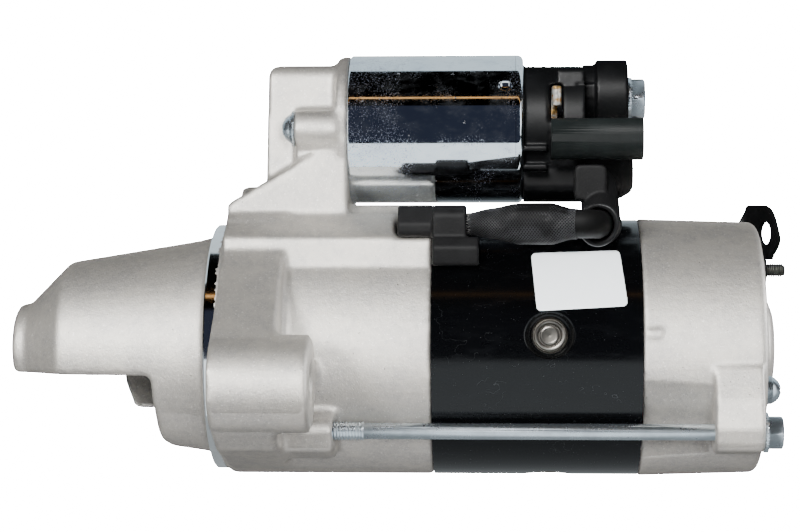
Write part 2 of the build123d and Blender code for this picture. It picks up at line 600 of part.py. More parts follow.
def coil_spring(radius, wire, x0, x1, turns, y, z):
    """Open coil spring along X, its wire of radius wire wound on the given mean radius."""
    height = x1 - x0 - 2 * wire
    path = Helix(height / turns, height, radius, center=(x0 + wire, y, z), direction=(1, 0, 0))
    section = Plane(origin=path @ 0, z_dir=path % 0) * Circle(wire)
    return sweep(section, path=path, is_frenet=True)


def contact_rod():
    """Rod that the plunger pushes at the end of its travel; it carries the contact disc."""
    x0 = SPRING_SEAT_X + PLUNGER_TRAVEL - CONTACT_TRAVEL + 0.2
    return bar(2.4, x0, 108.0, 0, SOL_Z)


def contact_disc():
    return tube(17.0, 2.4, 98.2, 100.5, 0, SOL_Z)


def cap_plate(x0, x1, corner_r):
    """Upper part of the cap's rear plate, wider than the round body."""
    top_z, foot_z = SOL_Z + 18.9, SOL_Z + 2
    return along_x(outline([(-19, foot_z), (-15, top_z), (15, top_z), (19, foot_z)], [corner_r] * 4), x0, x1)


def terminal_cap():
    """Moulded cap that closes the can and carries the terminals."""
    x_in, x_step = SOL_X[1] - 9.2, SOL_X[1]
    x_out, x_end = CAP_X
    body = bar(21.7, x_in, x_step, 0, SOL_Z) + bar(20.9, x_step, x_end, 0, SOL_Z)
    lower = outline([(-16, SOL_Z - 5), (-16, SOL_Z - 21), (-11, 48.8), (11, 48.8), (16, SOL_Z - 21),
                     (16, SOL_Z - 5)],
                    [0, 3, 3, 3, 3, 0])
    body = body + along_x(lower, x_step, x_end)
    body = body + cap_plate(108.0, x_end, 2)
    body = body - bar(18.5, x_in - 1, 112.0, 0, SOL_Z)
    # window that shows the soldered coil end, and the groove round the joint to the can
    body = body - slab(x_out, 109.8, -24, -10, SOL_Z + 1, SOL_Z + 13.6)
    body = body - tube(22, 20.2, x_out - 0.9, x_out, 0, SOL_Z)
    for rib_z in (SOL_Z - 8.6, SOL_Z - 14.6):
        rib = slab(x_step, x_out - 1.2, -21.6, -15, rib_z, rib_z + 1.8)
        body = body + (rib - bar(18.6, 90, 112, 0, SOL_Z))
    for (y, z), r in ((B_TERMINAL, 6.5), (M_TERMINAL, 5.6)):
        body = body - bar(r, 103.6, 112.0, y, z) - bar(4.0, 110, x_end + 1, y, z)
    # keyway for the battery terminal's shroud
    return body - slab(114.0, x_end + 1, B_TERMINAL[0] - 20, B_TERMINAL[0] - 8, SOL_Z + 9.6, SOL_Z + 14.6)


def terminal_bolt(y, z, head_r, x_end):
    head = bar(head_r - 0.1, 103.8, 112.0, y, z)
    shank = turned([(111.0, 0), (111.0, 4.0), (x_end - 0.8, 4.0), (x_end, 3.2), (x_end, 0)], None, y, z)
    return head + shank


def battery_shroud():
    """Round insulating shroud round the battery terminal."""
    y, z = B_TERMINAL
    stem = bar(11.6, CAP_X[1], 122.0, y, z) + bar(13.2, 121.2, 131.8, y, z)
    key = slab(114.1, 121.5, y - 11.8, y - 8.1, SOL_Z + 9.7, SOL_Z + 14.5)
    body = fillet(stem.edges().filter_by(GeomType.CIRCLE).sort_by(Axis.X)[-1], 0.8) + key
    return body - bar(9.6, 122.0, 133, y, z) - bar(4.1, 113, 123, y, z)


def terminal_nuts():
    """Flange nuts on the battery and motor terminals."""
    nuts = []
    for (y, z), x0, flats in ((B_TERMINAL, 132.8, 13.0), (M_TERMINAL, 121.4, 10.0)):
        nut = hex_head(flats, x0, x0 + 5.0, y, z, True)
        collar = bar(flats * 0.56, x0 - 1.2, x0 + 0.6, y, z)
        nuts.append(nut + collar - bar(4.0, x0 - 3, x0 + 9, y, z))
    spacer = tube(8.6, 4.0, 122.2, 131.6, *B_TERMINAL)
    return Compound(children=nuts + [spacer])


def switch_connector():
    """Socket of the switch terminal: a long rounded tube, open at the rear."""
    y0, y1, z0, z1 = -28.6, -15.2, 61.6, 75.0
    outer = outline([(y0, z0), (y0, z1), (y1, z1), (y1, z0)], [5.5, 5.5, 3, 3])
    inner = outline([(y0 + 1.6, z0 + 1.6), (y0 + 1.6, z1 - 1.6), (y1 - 1.6, z1 - 1.6), (y1 - 1.6, z0 + 1.6)],
                    [4, 4, 1.5, 1.5])
    body = along_x(outer, 105.9, 135.6)
    body = body - along_x(inner, 120.0, 136.6) - bar(20.9 + RUN, 104, CAP_X[1] + RUN, 0, SOL_Z)
    body = body - cap_plate(105, CAP_X[1] + RUN, 2)
    return body - slab(104, CAP_X[1] + RUN, -21.6, -15, 50, 75)


def switch_blade():
    return slab(120.0, 131.0, -22.3, -21.5, 65.2, 71.6)


def solder_tab():
    """Coil end soldered to its tab in the cap's window."""
    tab = slab(106.0, 107.9, -20.2, -18.55, SOL_Z + 1.4, SOL_Z + 8.0)
    joint = Pos(107.7, -19.8, SOL_Z + 9.4) * Cylinder(1.65, 6.6)
    return tab + fillet(joint.edges().filter_by(GeomType.CIRCLE), 0.7)


def solenoid_screws():
    """Two pan-head screws that hold the solenoid from the front."""
    screws = []
    for side in (-1, 1):
        y, z, x0 = side * SOL_SCREW_Y, SOL_SCREW_Z, SOL_SCREW_X
        head = bar(5.8, x0 - 0.8, x0, y, z) + bar(4.9, x0 - 1.2, x0, y, z)
        head = head + dome(4.9, 3.2, x0 - 1.1, -1, y, z)
        cross = slab(x0 - 5, x0 - 2.6, y - 0.5, y + 0.5, z - 2.0, z + 2.0)
        cross = cross + slab(x0 - 5, x0 - 2.6, y - 2.0, y + 2.0, z - 0.5, z + 0.5)
        screws.append(head - cross + bar(2.5, x0 - 0.5, SOL_X[0], y, z))
    return Compound(children=screws)


# ---------------------------------------------------------------- lead, boot and grommet


def rod_between(start, end, r):
    """Round rod from one point to another."""
    along = end - start
    return extrude(Plane(start, z_dir=along.normalized()) * Circle(r), amount=along.length)


def terminal_boot():
    """Rubber elbow over the motor terminal; its mouth takes the end of the lead."""
    y, z = M_TERMINAL
    hood = turned([(117.1, 0), (117.1, 8.0), (129.0, 8.6), (133.4, 6.0), (133.4, 0)], [0, 0, 3, 3, 0], y, z)
    shoulder, knee = Vector(121.6, y - 2, z - 1), MOUTH - MOUTH_DIRECTION * 8.0
    # skirt that lies along the side of the cap
    skirt = outline([(113.4, 48.4), (113.4, 60.0), (124, 60.0), (124, 48.4)], [1.5, 2, 2, 2])
    skirt = along_y(skirt, -22.4, -16.4)
    lip = Plane(MOUTH, z_dir=-MOUTH_DIRECTION) * Torus(MOUTH_R - 0.9, 0.9)
    body = hood + rod_between(shoulder, knee, 6.2) + Pos(*knee) * Sphere(6.4) + skirt
    body = body + rod_between(knee, MOUTH, MOUTH_R - 0.5) + lip
    body = body - rod_between(MOUTH - MOUTH_DIRECTION * 6.0, MOUTH + MOUTH_DIRECTION * 3, MOUTH_R - 1.7)
    # hollow for the nut, and clear of the cap's rear face and of the yoke below
    body = body - bar(6.4, 116, 128.2, y, z) - slab(110, CAP_X[1] + 0.1, -16.2, 20, 30, 100)
    return body - bar(YOKE_R + 0.3, 100, 140)


def motor_lead():
    """Braided copper lead in a woven sleeve, thin at the grommet and bent into the boot at its other end."""
    along = LEAD_BEND - LEAD_START
    turn = degrees(atan2(along.Y, along.X))
    sleeve = revolve(Plane.XZ * outline(
        [(-1, 0), (-1, 2.8), (8, 4.6), (17, 6.5), (28, 6.5), (34.0, 4.7), (34.0, 0)],
        [0, 0, 16, 14, 8, 0, 0]), Axis.X)
    sleeve = Pos(*LEAD_START) * Rot(0, 0, turn) * sleeve
    bend_start = LEAD_START + along.normalized() * 33.0
    bend_end = MOUTH - MOUTH_DIRECTION * 5.9
    path = FilletPolyline(bend_start, LEAD_BEND, bend_end, radius=5.6)
    section = Plane(origin=path @ 0, z_dir=path % 0) * Circle(4.6)
    return (sleeve & slab(LEAD_X0, 130, -60, -20, 20, 60)) + sweep(section, path=path)


def lead_grommet():
    """Rubber block in the notch between gear case and yoke, with a flap over the yoke."""
    z0 = GROMMET_Z + 0.2
    block = outline([(-34.6, z0), (-34.6, 40.6), (-29.5, 46.4), (-22.2, 46.4), (-22.2, z0)],
                    [2, 2.5, 2, 0, 0])
    body = along_x(block, 56.4, YOKE_X[0] + 0.4)
    lobe = outline([(-36.4, 33.0), (-36.4, 44.0), (-32, 46.6), (-26, 46.4), (-22.4, 40), (-22.4, 33)],
                   [2, 3, 3, 3, 0, 0])
    body = body + along_x(lobe, YOKE_X[0] + 0.2, LEAD_X0) - bar(YOKE_R + 0.02, YOKE_X[0] + 0.2, 90)
    flap = outline([(-39.6, 27.0), (-40.2, 33.0), (-37.0, 36.2), (-26, 36.2), (-22.4, 30), (-22.4, 27.2)],
                   [1, 2, 2, 0, 0, 0])
    flap = along_x(flap, YOKE_X[0] + 0.2, 82.6) - bar(YOKE_R + 0.02, 60, 90)
    plug = slab(YOKE_X[0] + 0.2, YOKE_X[0] + 8.9, -35.9, -22.1, 27.1, 40) - bar(YOKE_BORE_R, 60, 90)
    return body + flap + plug


# ---------------------------------------------------------------- rear end pieces


def brush_plate():
    """Insulating plate with four boxes that guide the brushes."""
    plate = tube(37.9, 19.0, 158.5, 161.0)
    body = plate
    for angle in BRUSH_ANGLES:
        box = slab(BRUSH_X[0] - 1.4, 158.6, 18.0, 36.5, -5.2, 5.2) - slab(*BRUSH_X, 17, 34.8, -3.6, 3.6)
        body = body + about_x(box, angle)
    for side in (1, -1):
        post = tube(4.0, 2.0, 160.9, 170.0, side * BRUSH_SCREW[0], side * BRUSH_SCREW[1])
        body = body + post - bar(2.0, 155, 171, side * BRUSH_SCREW[0], side * BRUSH_SCREW[1])
    return body


def brush(k):
    """Carbon brush, its end curved to the commutator."""
    block = slab(BRUSH_X[0] + 0.1, BRUSH_X[1] - 0.1, 14, BRUSH_BACK_R, -3.5, 3.5)
    return about_x(block - bar(COMMUTATOR_R + 0.1, 140, 165), BRUSH_ANGLES[k])


def brush_springs():
    springs = []
    for angle in BRUSH_ANGLES:
        coil = coil_spring(2.4, 0.35, BRUSH_BACK_R + 0.1, 34.7, 5, 0, 0)
        standing = Pos(sum(BRUSH_X) / 2, 0, 0) * Rot(0, 0, 90) * coil
        springs.append(about_x(standing, angle))
    return Compound(children=springs)


def brush_plate_screws():
    """Two dome-head screws that hold the brush plate through the rear cover."""
    screws = []
    for side in (1, -1):
        y, z = side * BRUSH_SCREW[0], side * BRUSH_SCREW[1]
        x0 = REAR_FACE_X
        washer = tube(5.4, 2.0, x0, x0 + 1.2, y, z)
        head = bar(4.6, x0 + 1.0, x0 + 2.4, y, z) + dome(4.6, 3.5, x0 + 2.3, 1, y, z)
        slot = slab(x0 + 4.2, x0 + 7, y - 0.5, y + 0.5, z - 2, z + 2)
        slot = slot + slab(x0 + 4.2, x0 + 7, y - 2, y + 2, z - 0.5, z + 0.5)
        screws.append(washer + (head - slot) + bar(2.0, 163.0, x0 + 1.5, y, z))
    return Compound(children=screws)


def through_bolt():
    """Long M6 bolt on the near side, with a hexagon flange head."""
    y, z = TIE
    x0 = EAR_X[1]
    washer = bar(6.4, x0, x0 + 1.3, y, z)
    head = hex_head(10.0, x0 + 1.2, x0 + 6.0, y, z)
    thread = bar(3.0, *THREAD_X, y, z)
    return washer + head + thread + bar(TIE_R, THREAD_X[1] - 0.1, x0 + 1, y, z)


def through_stud():
    """Long bolt on the far side; its tall head carries a threaded stud for the harness bracket."""
    y, z = -TIE[0], -TIE[1]
    x0 = EAR_X[1]
    head = bar(6.4, x0, x0 + 1.3, y, z) + hex_head(10.0, x0 + 1.2, BRACKET_X, y, z)
    head += bar(STUD_SHANK_R, BRACKET_X - 1, STUD_X, y, z)
    stud = turned([(STUD_X - 1, 0), (STUD_X - 1, 2.5), (188.3, 2.5), (189.1, 1.9), (189.1, 0)], None, y, z)
    return head + stud + bar(3.0, *THREAD_X, y, z) + bar(STUD_SHANK_R, THREAD_X[1] - 0.1, x0 + 1, y, z)


def harness_bracket():
    """Steel tab on the stud, turned outwards, with a round hole for a harness clip and a folded far edge."""
    y, z = -TIE[0], -TIE[1]
    foot = bar(6.2, BRACKET_X + 0.05, BRACKET_X + BRACKET_T + 0.2, y, z)
    low = z + 3.7
    tab = outline([(-2.8, low), (-3.6, low + 1.4), (-8.8, 35.6), (-2.8, 48.4), (13.9, 48.9), (13.9, 32.4),
                   (3.0, 32.4), (3.0, low)], [0, 2, 4, 9, 2.5, 2, 1, 0])
    tab = along_x(tab, 0, BRACKET_T) - Pos(0, 0.4, 38.6) * Rot(0, 90, 0) * Cylinder(4.1, 6)
    fold = outline([(-2.4, 32.4), (-2.4, 43.0), (0.8, 48.0), (0.8, 32.4)], [0.5, 2, 0, 0])
    fold = along_y(fold, 12.3, 13.9)
    tab = Pos(BRACKET_X + 1.8, y - 0.5, 0) * Rot(0, 0, BRACKET_TURN) * (tab + fold)
    return (foot + tab) - bar(STUD_SHANK_R + 0.05, 170, 195, y, z)


# ---------------------------------------------------------------- the whole assembly


def assembly():
    """All nodes by name."""
    outer_races, inner_races, balls = bearings()
    nodes = {
        "drive_end_housing": drive_end_housing(),
        "commutator_end_cover": commutator_end_cover(),
        "yoke": yoke(),
        "pole_shoes": pole_shoes(),
        "field_coils": field_coils(),
        "pole_screws": pole_screws(),
        "label": label(),
        "nose_bush": tube(7.2, 5.7 + RUN, -71, -59),
        "armature_shaft": armature_shaft(),
        "armature_core": armature_core(),
        "armature_winding": armature_winding(),
        "commutator": commutator(),
        "bearing_outer_races": outer_races,
        "bearing_inner_races": inner_races,
        "bearing_balls": balls,
        "ring_gear": ring_gear(),
        "partition_plate": partition_plate(),
        "output_shaft": output_shaft(),
        "planet_pins": planet_pins(),
        "stop_ring": stop_ring(),
        "clutch_housing": clutch_housing(),
        "clutch_cover": clutch_cover(),
        "clutch_rollers": clutch_rollers(),
        "pinion": pinion(),
        "shift_lever": shift_lever(),
        "lever_pin": lever_pin(),
        "solenoid_case": solenoid_case(),
        "coil_bobbin": coil_bobbin(),
        "solenoid_coil": solenoid_coil(),
        "solenoid_core": solenoid_core(),
        "plunger": plunger(),
        "plunger_spring": coil_spring(4.1, 0.6, SPRING_SEAT_X + 0.1, CORE_FACE_X - 0.1, 7, 0, SOL_Z),
        "contact_rod": contact_rod(),
        "contact_disc": contact_disc(),
        "contact_spring": coil_spring(3.6, 0.5, 100.7, 111.8, 5, 0, SOL_Z),
        "terminal_cap": terminal_cap(),
        "battery_terminal": terminal_bolt(*B_TERMINAL, 6.5, 138.0),
        "motor_terminal": terminal_bolt(*M_TERMINAL, 5.6, 127.6),
        "battery_shroud": battery_shroud(),
        "terminal_nuts": terminal_nuts(),
        "switch_connector": switch_connector(),
        "switch_blade": switch_blade(),
        "solder_tab": solder_tab(),
        "solenoid_screws": solenoid_screws(),
        "terminal_boot": terminal_boot(),
        "motor_lead": motor_lead(),
        "lead_grommet": lead_grommet(),
        "brush_plate": brush_plate(),
        "brush_springs": brush_springs(),
        "brush_plate_screws": brush_plate_screws(),
        "through_bolt": through_bolt(),
        "through_stud": through_stud(),
        "harness_bracket": harness_bracket(),
    }
    for k in range(PLANETS):
        nodes[f"planet_gear_{k + 1}"] = planet_gear(k)
    for k in range(4):
        nodes[f"brush_{k + 1}"] = brush(k)
    return nodes


os.makedirs("parts", exist_ok=True)
for name, shape in assembly().items():
    export_step(shape, f"parts/{name}.step")
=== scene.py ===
# %% [markdown]
# # A car starter motor, from its CAD frame to finished looks
# The CAD frame holds every piece at its true size and place. This lesson dresses it: most pieces keep their
# CAD shape and get softened edges and a finish, and a few are modelled again because their look is in the
# shape: threads, springs, a woven sleeve, a rolled rubber lip. The frame is loaded first, and the size of the
# whole is noted before anything is added.

# %% Load the frame
import json
import math
import random

import bmesh
import bpy
from mathutils import Matrix, Vector
from mathutils.bvhtree import BVHTree

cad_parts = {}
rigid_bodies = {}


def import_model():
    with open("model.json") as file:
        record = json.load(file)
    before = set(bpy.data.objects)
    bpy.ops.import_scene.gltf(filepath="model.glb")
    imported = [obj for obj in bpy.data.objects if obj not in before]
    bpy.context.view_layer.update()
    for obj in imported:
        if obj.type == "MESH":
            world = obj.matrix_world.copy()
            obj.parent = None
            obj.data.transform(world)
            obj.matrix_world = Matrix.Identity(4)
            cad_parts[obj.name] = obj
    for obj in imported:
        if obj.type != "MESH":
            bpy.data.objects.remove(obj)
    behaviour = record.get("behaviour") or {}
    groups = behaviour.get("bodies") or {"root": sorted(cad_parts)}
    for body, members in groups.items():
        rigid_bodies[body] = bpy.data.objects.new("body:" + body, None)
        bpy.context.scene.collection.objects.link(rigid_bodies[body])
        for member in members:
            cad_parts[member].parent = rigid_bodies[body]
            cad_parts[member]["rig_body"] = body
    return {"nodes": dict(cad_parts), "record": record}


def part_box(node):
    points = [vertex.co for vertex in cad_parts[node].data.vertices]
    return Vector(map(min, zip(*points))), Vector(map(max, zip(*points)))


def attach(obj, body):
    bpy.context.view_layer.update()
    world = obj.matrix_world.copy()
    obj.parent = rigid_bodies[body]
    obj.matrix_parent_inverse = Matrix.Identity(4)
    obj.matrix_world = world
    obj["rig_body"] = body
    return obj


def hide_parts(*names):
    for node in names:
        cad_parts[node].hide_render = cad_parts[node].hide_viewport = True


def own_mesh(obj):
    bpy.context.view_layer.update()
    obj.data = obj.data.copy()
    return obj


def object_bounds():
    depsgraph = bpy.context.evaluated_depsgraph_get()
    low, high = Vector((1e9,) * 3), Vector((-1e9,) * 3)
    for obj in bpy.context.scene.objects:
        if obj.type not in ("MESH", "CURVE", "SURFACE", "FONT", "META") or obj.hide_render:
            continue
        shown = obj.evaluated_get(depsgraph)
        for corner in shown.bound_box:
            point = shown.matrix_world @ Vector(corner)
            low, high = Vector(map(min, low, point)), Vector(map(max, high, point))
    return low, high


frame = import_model()
cad_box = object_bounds()
MM = 0.001

# %% [markdown]
# ## Landmarks
# Sizes and places come from the frame's own boxes. The motor axis is the X axis. The solenoid's axis runs
# parallel to it, at the middle of the plated can.

# %% Landmarks


def middle(node):
    """Centre of a node's box."""
    low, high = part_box(node)
    return (low + high) / 2


can_low, can_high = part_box("solenoid_case")
solenoid_z = middle("solenoid_case").z
can_radius = (can_high.z - can_low.z) / 2
yoke_low, yoke_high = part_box("yoke")
yoke_radius = (yoke_high.z - yoke_low.z) / 2
print("solenoid axis height", round(solenoid_z, 4), "yoke radius", round(yoke_radius, 4))

# %% [markdown]
# ## Camera
# The starter is seen square from the side with a long lens. The eye stands level, a little above the motor
# axis, and is turned slightly to frame the whole length.

# %% Camera
EYE = Vector((0.0909, -0.707, 0.0257))
LENS = 94.59               # millimetres, on a sensor 36 mm wide
SENSOR = 36.0
YAW = 2.8596862            # degrees to the left
PITCH = 0.10903            # degrees upwards
camera_data = bpy.data.cameras.new("camera")
camera_data.sensor_width = SENSOR
camera_data.lens = LENS
camera = bpy.data.objects.new("camera", camera_data)
bpy.context.scene.collection.objects.link(camera)
camera.location = EYE
camera.rotation_euler = (math.radians(90 + PITCH), 0, math.radians(YAW))
bpy.context.scene.camera = camera
print("lens", round(camera_data.lens, 2), "mm")

# %% [markdown]
# ## Floor and studio
# A bright seamless set. What the eye sees and what the metal mirrors are kept apart with ray visibility: the
# pale floor and the world are seen by the camera, and separate glowing cards are seen only by reflections.
# The cards stand where a table, a backdrop and a lamp's edge would be, because polished zinc shows its whole
# surroundings as bands along the can. Light linking sorts the pieces into three collections: castings have
# lamps of their own, shiny pieces see the cards, and the trim, all the small pieces, gets a key lamp. A large
# soft lamp near the eye gives rough metal its broad sheen, and two of them keep it even from end to end.

# %% Stage helpers


def glow(name, colour, strength, from_above=False):
    """Plain emission for a card or the seen floor, which is clear from below so that the underside shows."""
    material = bpy.data.materials.new(name)
    material.use_nodes = True
    tree = material.node_tree
    tree.nodes.clear()
    emission = tree.nodes.new("ShaderNodeEmission")
    emission.inputs["Color"].default_value = (*colour, 1)
    emission.inputs["Strength"].default_value = strength
    output = tree.nodes.new("ShaderNodeOutputMaterial")
    tree.links.new(emission.outputs[0], output.inputs["Surface"])
    if from_above:
        side = tree.nodes.new("ShaderNodeNewGeometry")
        mix = tree.nodes.new("ShaderNodeMixShader")
        clear = tree.nodes.new("ShaderNodeBsdfTransparent")
        tree.links.new(side.outputs["Backfacing"], mix.inputs[0])
        tree.links.new(emission.outputs[0], mix.inputs[1])
        tree.links.new(clear.outputs[0], mix.inputs[2])
        tree.links.new(mix.outputs[0], output.inputs["Surface"])
    return material


castings = bpy.data.collections.new("castings")
shiny = bpy.data.collections.new("shiny")
trim = bpy.data.collections.new("trim")


def card(name, corners, material, seen=False):
    """A flat stage panel from four corners: seen by the camera, or else only mirrored in shiny pieces."""
    bm = bmesh.new()
    bm.faces.new([bm.verts.new(corner) for corner in corners])
    mesh = bpy.data.meshes.new(name)
    bm.to_mesh(mesh)
    bm.free()
    obj = bpy.data.objects.new(name, mesh)
    bpy.context.scene.collection.objects.link(obj)
    obj.data.materials.append(material)
    obj.visible_camera = seen
    obj.visible_diffuse = False
    obj.visible_glossy = not seen
    obj.visible_transmission = False
    obj.visible_shadow = False
    if not seen:
        obj.light_linking.receiver_collection = shiny


def level(x0, x1, y0, y1, z):
    """Corners of a level panel that faces up."""
    return [(x0, y0, z), (x1, y0, z), (x1, y1, z), (x0, y1, z)]


def leaning(x0, x1, low, high):
    """Corners of a panel between two level edges, each given as (y, z)."""
    return [(x0, *low), (x1, *low), (x1, *high), (x0, *high)]


# %% Floor and cards
WHITE = 40.0               # strength that shows as pure white
floor_z = cad_box[0][2] - 0.0005
REACH = 12.0
card("floor", level(-REACH, REACH, -REACH, REACH, floor_z),
     glow("floor_white", (1.0, 1.0, 1.0), WHITE, from_above=True), seen=True)
world = bpy.data.worlds.new("white")
bpy.context.scene.world = world
world.use_nodes = True
world.node_tree.nodes["Background"].inputs["Color"].default_value = (1, 1, 1, 1)
world.node_tree.nodes["Background"].inputs["Strength"].default_value = WHITE
world.cycles_visibility.diffuse = False
world.cycles_visibility.glossy = False
world.cycles_visibility.transmission = False

TABLE_EDGE = 0.26          # how far the table reaches towards the eye
SHADE_EDGE = 0.045         # from here back the starter shades it
COOL = (0.88, 0.96, 1.0)
PALE = (0.95, 0.98, 1.0)
SKY = (0.80, 0.93, 1.0)
AMBER = (1.0, 0.52, 0.18)
NAVY = (0.5, 0.6, 1.0)
CARDS = {
    "table_card": (COOL, 1.7, level(-0.9, 1.1, -TABLE_EDGE, -SHADE_EDGE, floor_z)),
    # painted shadow: the rear of the table card glows dimmer where the starter would shade the table
    "table_painted_shadow_card": (COOL, 0.42, level(-0.9, 1.1, -SHADE_EDGE, 0.9, floor_z)),
    "back_card": (SKY, 1.0, leaning(-1.2, 1.4, (0.9, floor_z), (0.16, 1.2))),
    "lamp_edge": (AMBER, 1.2, leaning(-0.9, 1.1, (-0.72, 0.775), (-0.69, 0.81))),
    "room_card": (NAVY, 0.045, leaning(-1.5, 1.7, (-1.2, -0.45), (-1.2, 0.85))),
    "side_card": (PALE, 2.4, [(1.0, -0.75, -0.1), (1.0, -0.25, -0.1), (1.0, -0.25, 0.6), (1.0, -0.75, 0.6)]),
    "side_card_left": (PALE, 0.9, [(-0.8, -0.75, -0.1), (-0.8, -0.35, -0.1), (-0.8, -0.35, 0.5),
                                   (-0.8, -0.75, 0.5)]),
}
for name, (colour, strength, corners) in CARDS.items():
    card(name, corners, glow(name + "_light", colour, strength))
print("cards", len(CARDS))

# %% Lamps
AIM = Vector((0.06, 0, 0.02))
WHITE_LIGHT = (1.0, 1.0, 1.0)
WARM_LIGHT = (1.0, 0.985, 0.95)


def softbox(name, place, size, power, pieces=None, colour=WHITE_LIGHT):
    """A soft lamp aimed at the starter. With a collection of pieces it lights, and glints on, only them."""
    data = bpy.data.lights.new(name, "AREA")
    data.shape = "SQUARE"
    data.size = size
    data.energy = power
    data.color = colour
    lamp = bpy.data.objects.new(name, data)
    bpy.context.scene.collection.objects.link(lamp)
    lamp.location = place
    lamp.rotation_euler = (AIM - Vector(place)).to_track_quat("-Z", "Y").to_euler()
    lamp.visible_camera = False
    if pieces is None:
        lamp.visible_glossy = False
    else:
        lamp.light_linking.receiver_collection = pieces


softbox("front_lamp", (-0.15, -1.3, 0.15), 0.9, 7)
softbox("top_lamp", (0.1, 0.1, 1.2), 1.0, 2.5)
softbox("low_lamp", (0.2, -0.4, -1.0), 0.8, 4)
softbox("back_lamp", (0.1, 1.2, 0.4), 0.9, 8)
softbox("left_lamp", (-1.1, -0.1, 0.2), 0.6, 3)
softbox("right_lamp", (1.2, 0.0, 0.3), 0.6, 5)
softbox("casting_key_left", (-0.80, -1.35, 0.42), 0.45, 42, castings, WARM_LIGHT)
softbox("casting_key_right", (0.45, -1.5, 0.22), 0.45, 31, castings, WARM_LIGHT)
softbox("casting_back", (0.1, 1.5, 0.3), 0.9, 22, castings)
softbox("casting_right", (1.5, 0.1, 0.3), 0.7, 16, castings)
softbox("casting_low", (0.1, -0.7, -1.3), 0.8, 16, castings)
softbox("trim_key", (-0.2, -1.2, 0.75), 0.45, 16, trim)
print("lamps", len(bpy.data.lights))

# %% [markdown]
# ## Shader arithmetic
# Finishes are sums and products of patterns. One small class wraps a node's output so that ordinary Python
# arithmetic adds the Math nodes, and one method adds any other node. Colours and vectors use Mix and Vector
# Math, which keep all three channels.

# %% Socket wrapper


class Wire:
    """An output socket that takes part in arithmetic."""

    def __init__(self, finish, socket):
        self.finish = finish
        self.socket = socket

    def math(self, operation, *others):
        """Math node on this value and the others, in order."""
        return self.finish.node("ShaderNodeMath", {"operation": operation}, dict(enumerate([self, *others])))

    def __add__(self, other):
        return self.math("ADD", other)

    def __radd__(self, other):
        return self.math("ADD", other)

    def __sub__(self, other):
        return self.math("SUBTRACT", other)

    def __rsub__(self, other):
        return self.finish.node("ShaderNodeMath", {"operation": "SUBTRACT"}, {0: other, 1: self})

    def __mul__(self, other):
        return self.math("MULTIPLY", other)

    def __rmul__(self, other):
        return self.math("MULTIPLY", other)

    def __lt__(self, other):
        return self.math("LESS_THAN", other)

    def between(self, low, high):
        """0 below low, 1 above high, and smooth in between."""
        settings = {"interpolation_type": "SMOOTHSTEP"}
        inputs = {"Value": self, "From Min": low, "From Max": high}
        return self.finish.node("ShaderNodeMapRange", settings, inputs)


class Finish:
    """One material, built up node by node."""

    def __init__(self, name):
        self.material = bpy.data.materials.new(name)
        self.material.use_nodes = True
        self.tree = self.material.node_tree
        self.shader = self.tree.nodes["Principled BSDF"]

    def node(self, kind, settings=None, inputs=None, output=0):
        """Adds a node: first its settings, then the values or links of its sockets."""
        made = self.tree.nodes.new(kind)
        for key, value in (settings or {}).items():
            setattr(made, key, value)
        for key, value in (inputs or {}).items():
            self.feed(made.inputs[key], value)
        return Wire(self, made.outputs[output])

    def feed(self, socket, value):
        """Links a wire to a socket, or writes a number, colour or vector in it."""
        if isinstance(value, Wire):
            self.tree.links.new(value.socket, socket)
        elif socket.type == "RGBA" and len(value) == 3:
            socket.default_value = (*value, 1)
        else:
            socket.default_value = value

    def place(self, shift=(0, 0, 0), stretch=(1, 1, 1)):
        """Position on the piece in metres, moved and stretched."""
        spot = self.node("ShaderNodeTexCoord", output="Object")
        if tuple(shift) == (0, 0, 0) and tuple(stretch) == (1, 1, 1):
            return spot
        return self.node("ShaderNodeMapping", inputs={"Vector": spot, "Location": shift, "Scale": stretch})

    def along_x(self):
        """Distance along the motor axis in metres."""
        return self.node("ShaderNodeSeparateXYZ", inputs={0: self.place()}, output="X")

    def noise(self, size, detail=2.0, rough=0.5, stretch=(1, 1, 1), shift=(0, 0, 0)):
        """Cloudy pattern with features of about the given size in metres."""
        spot = self.place(shift, stretch)
        inputs = {"Vector": spot, "Scale": 1 / size, "Detail": detail, "Roughness": rough}
        return self.node("ShaderNodeTexNoise", inputs=inputs)

    def mix(self, factor, first, second):
        """Blend of two colours."""
        return self.node("ShaderNodeMix", {"data_type": "RGBA"}, {0: factor, 6: first, 7: second}, output=2)

    def bump(self, height, depth):
        """Normal from a height in units of depth metres."""
        return self.node("ShaderNodeBump", inputs={"Height": height, "Distance": depth, "Strength": 1.0})

    def set(self, **sockets):
        """Writes or links sockets of the Principled shader, named with underscores for spaces."""
        for key, value in sockets.items():
            self.feed(self.shader.inputs[key.replace("_", " ")], value)
        return self.material
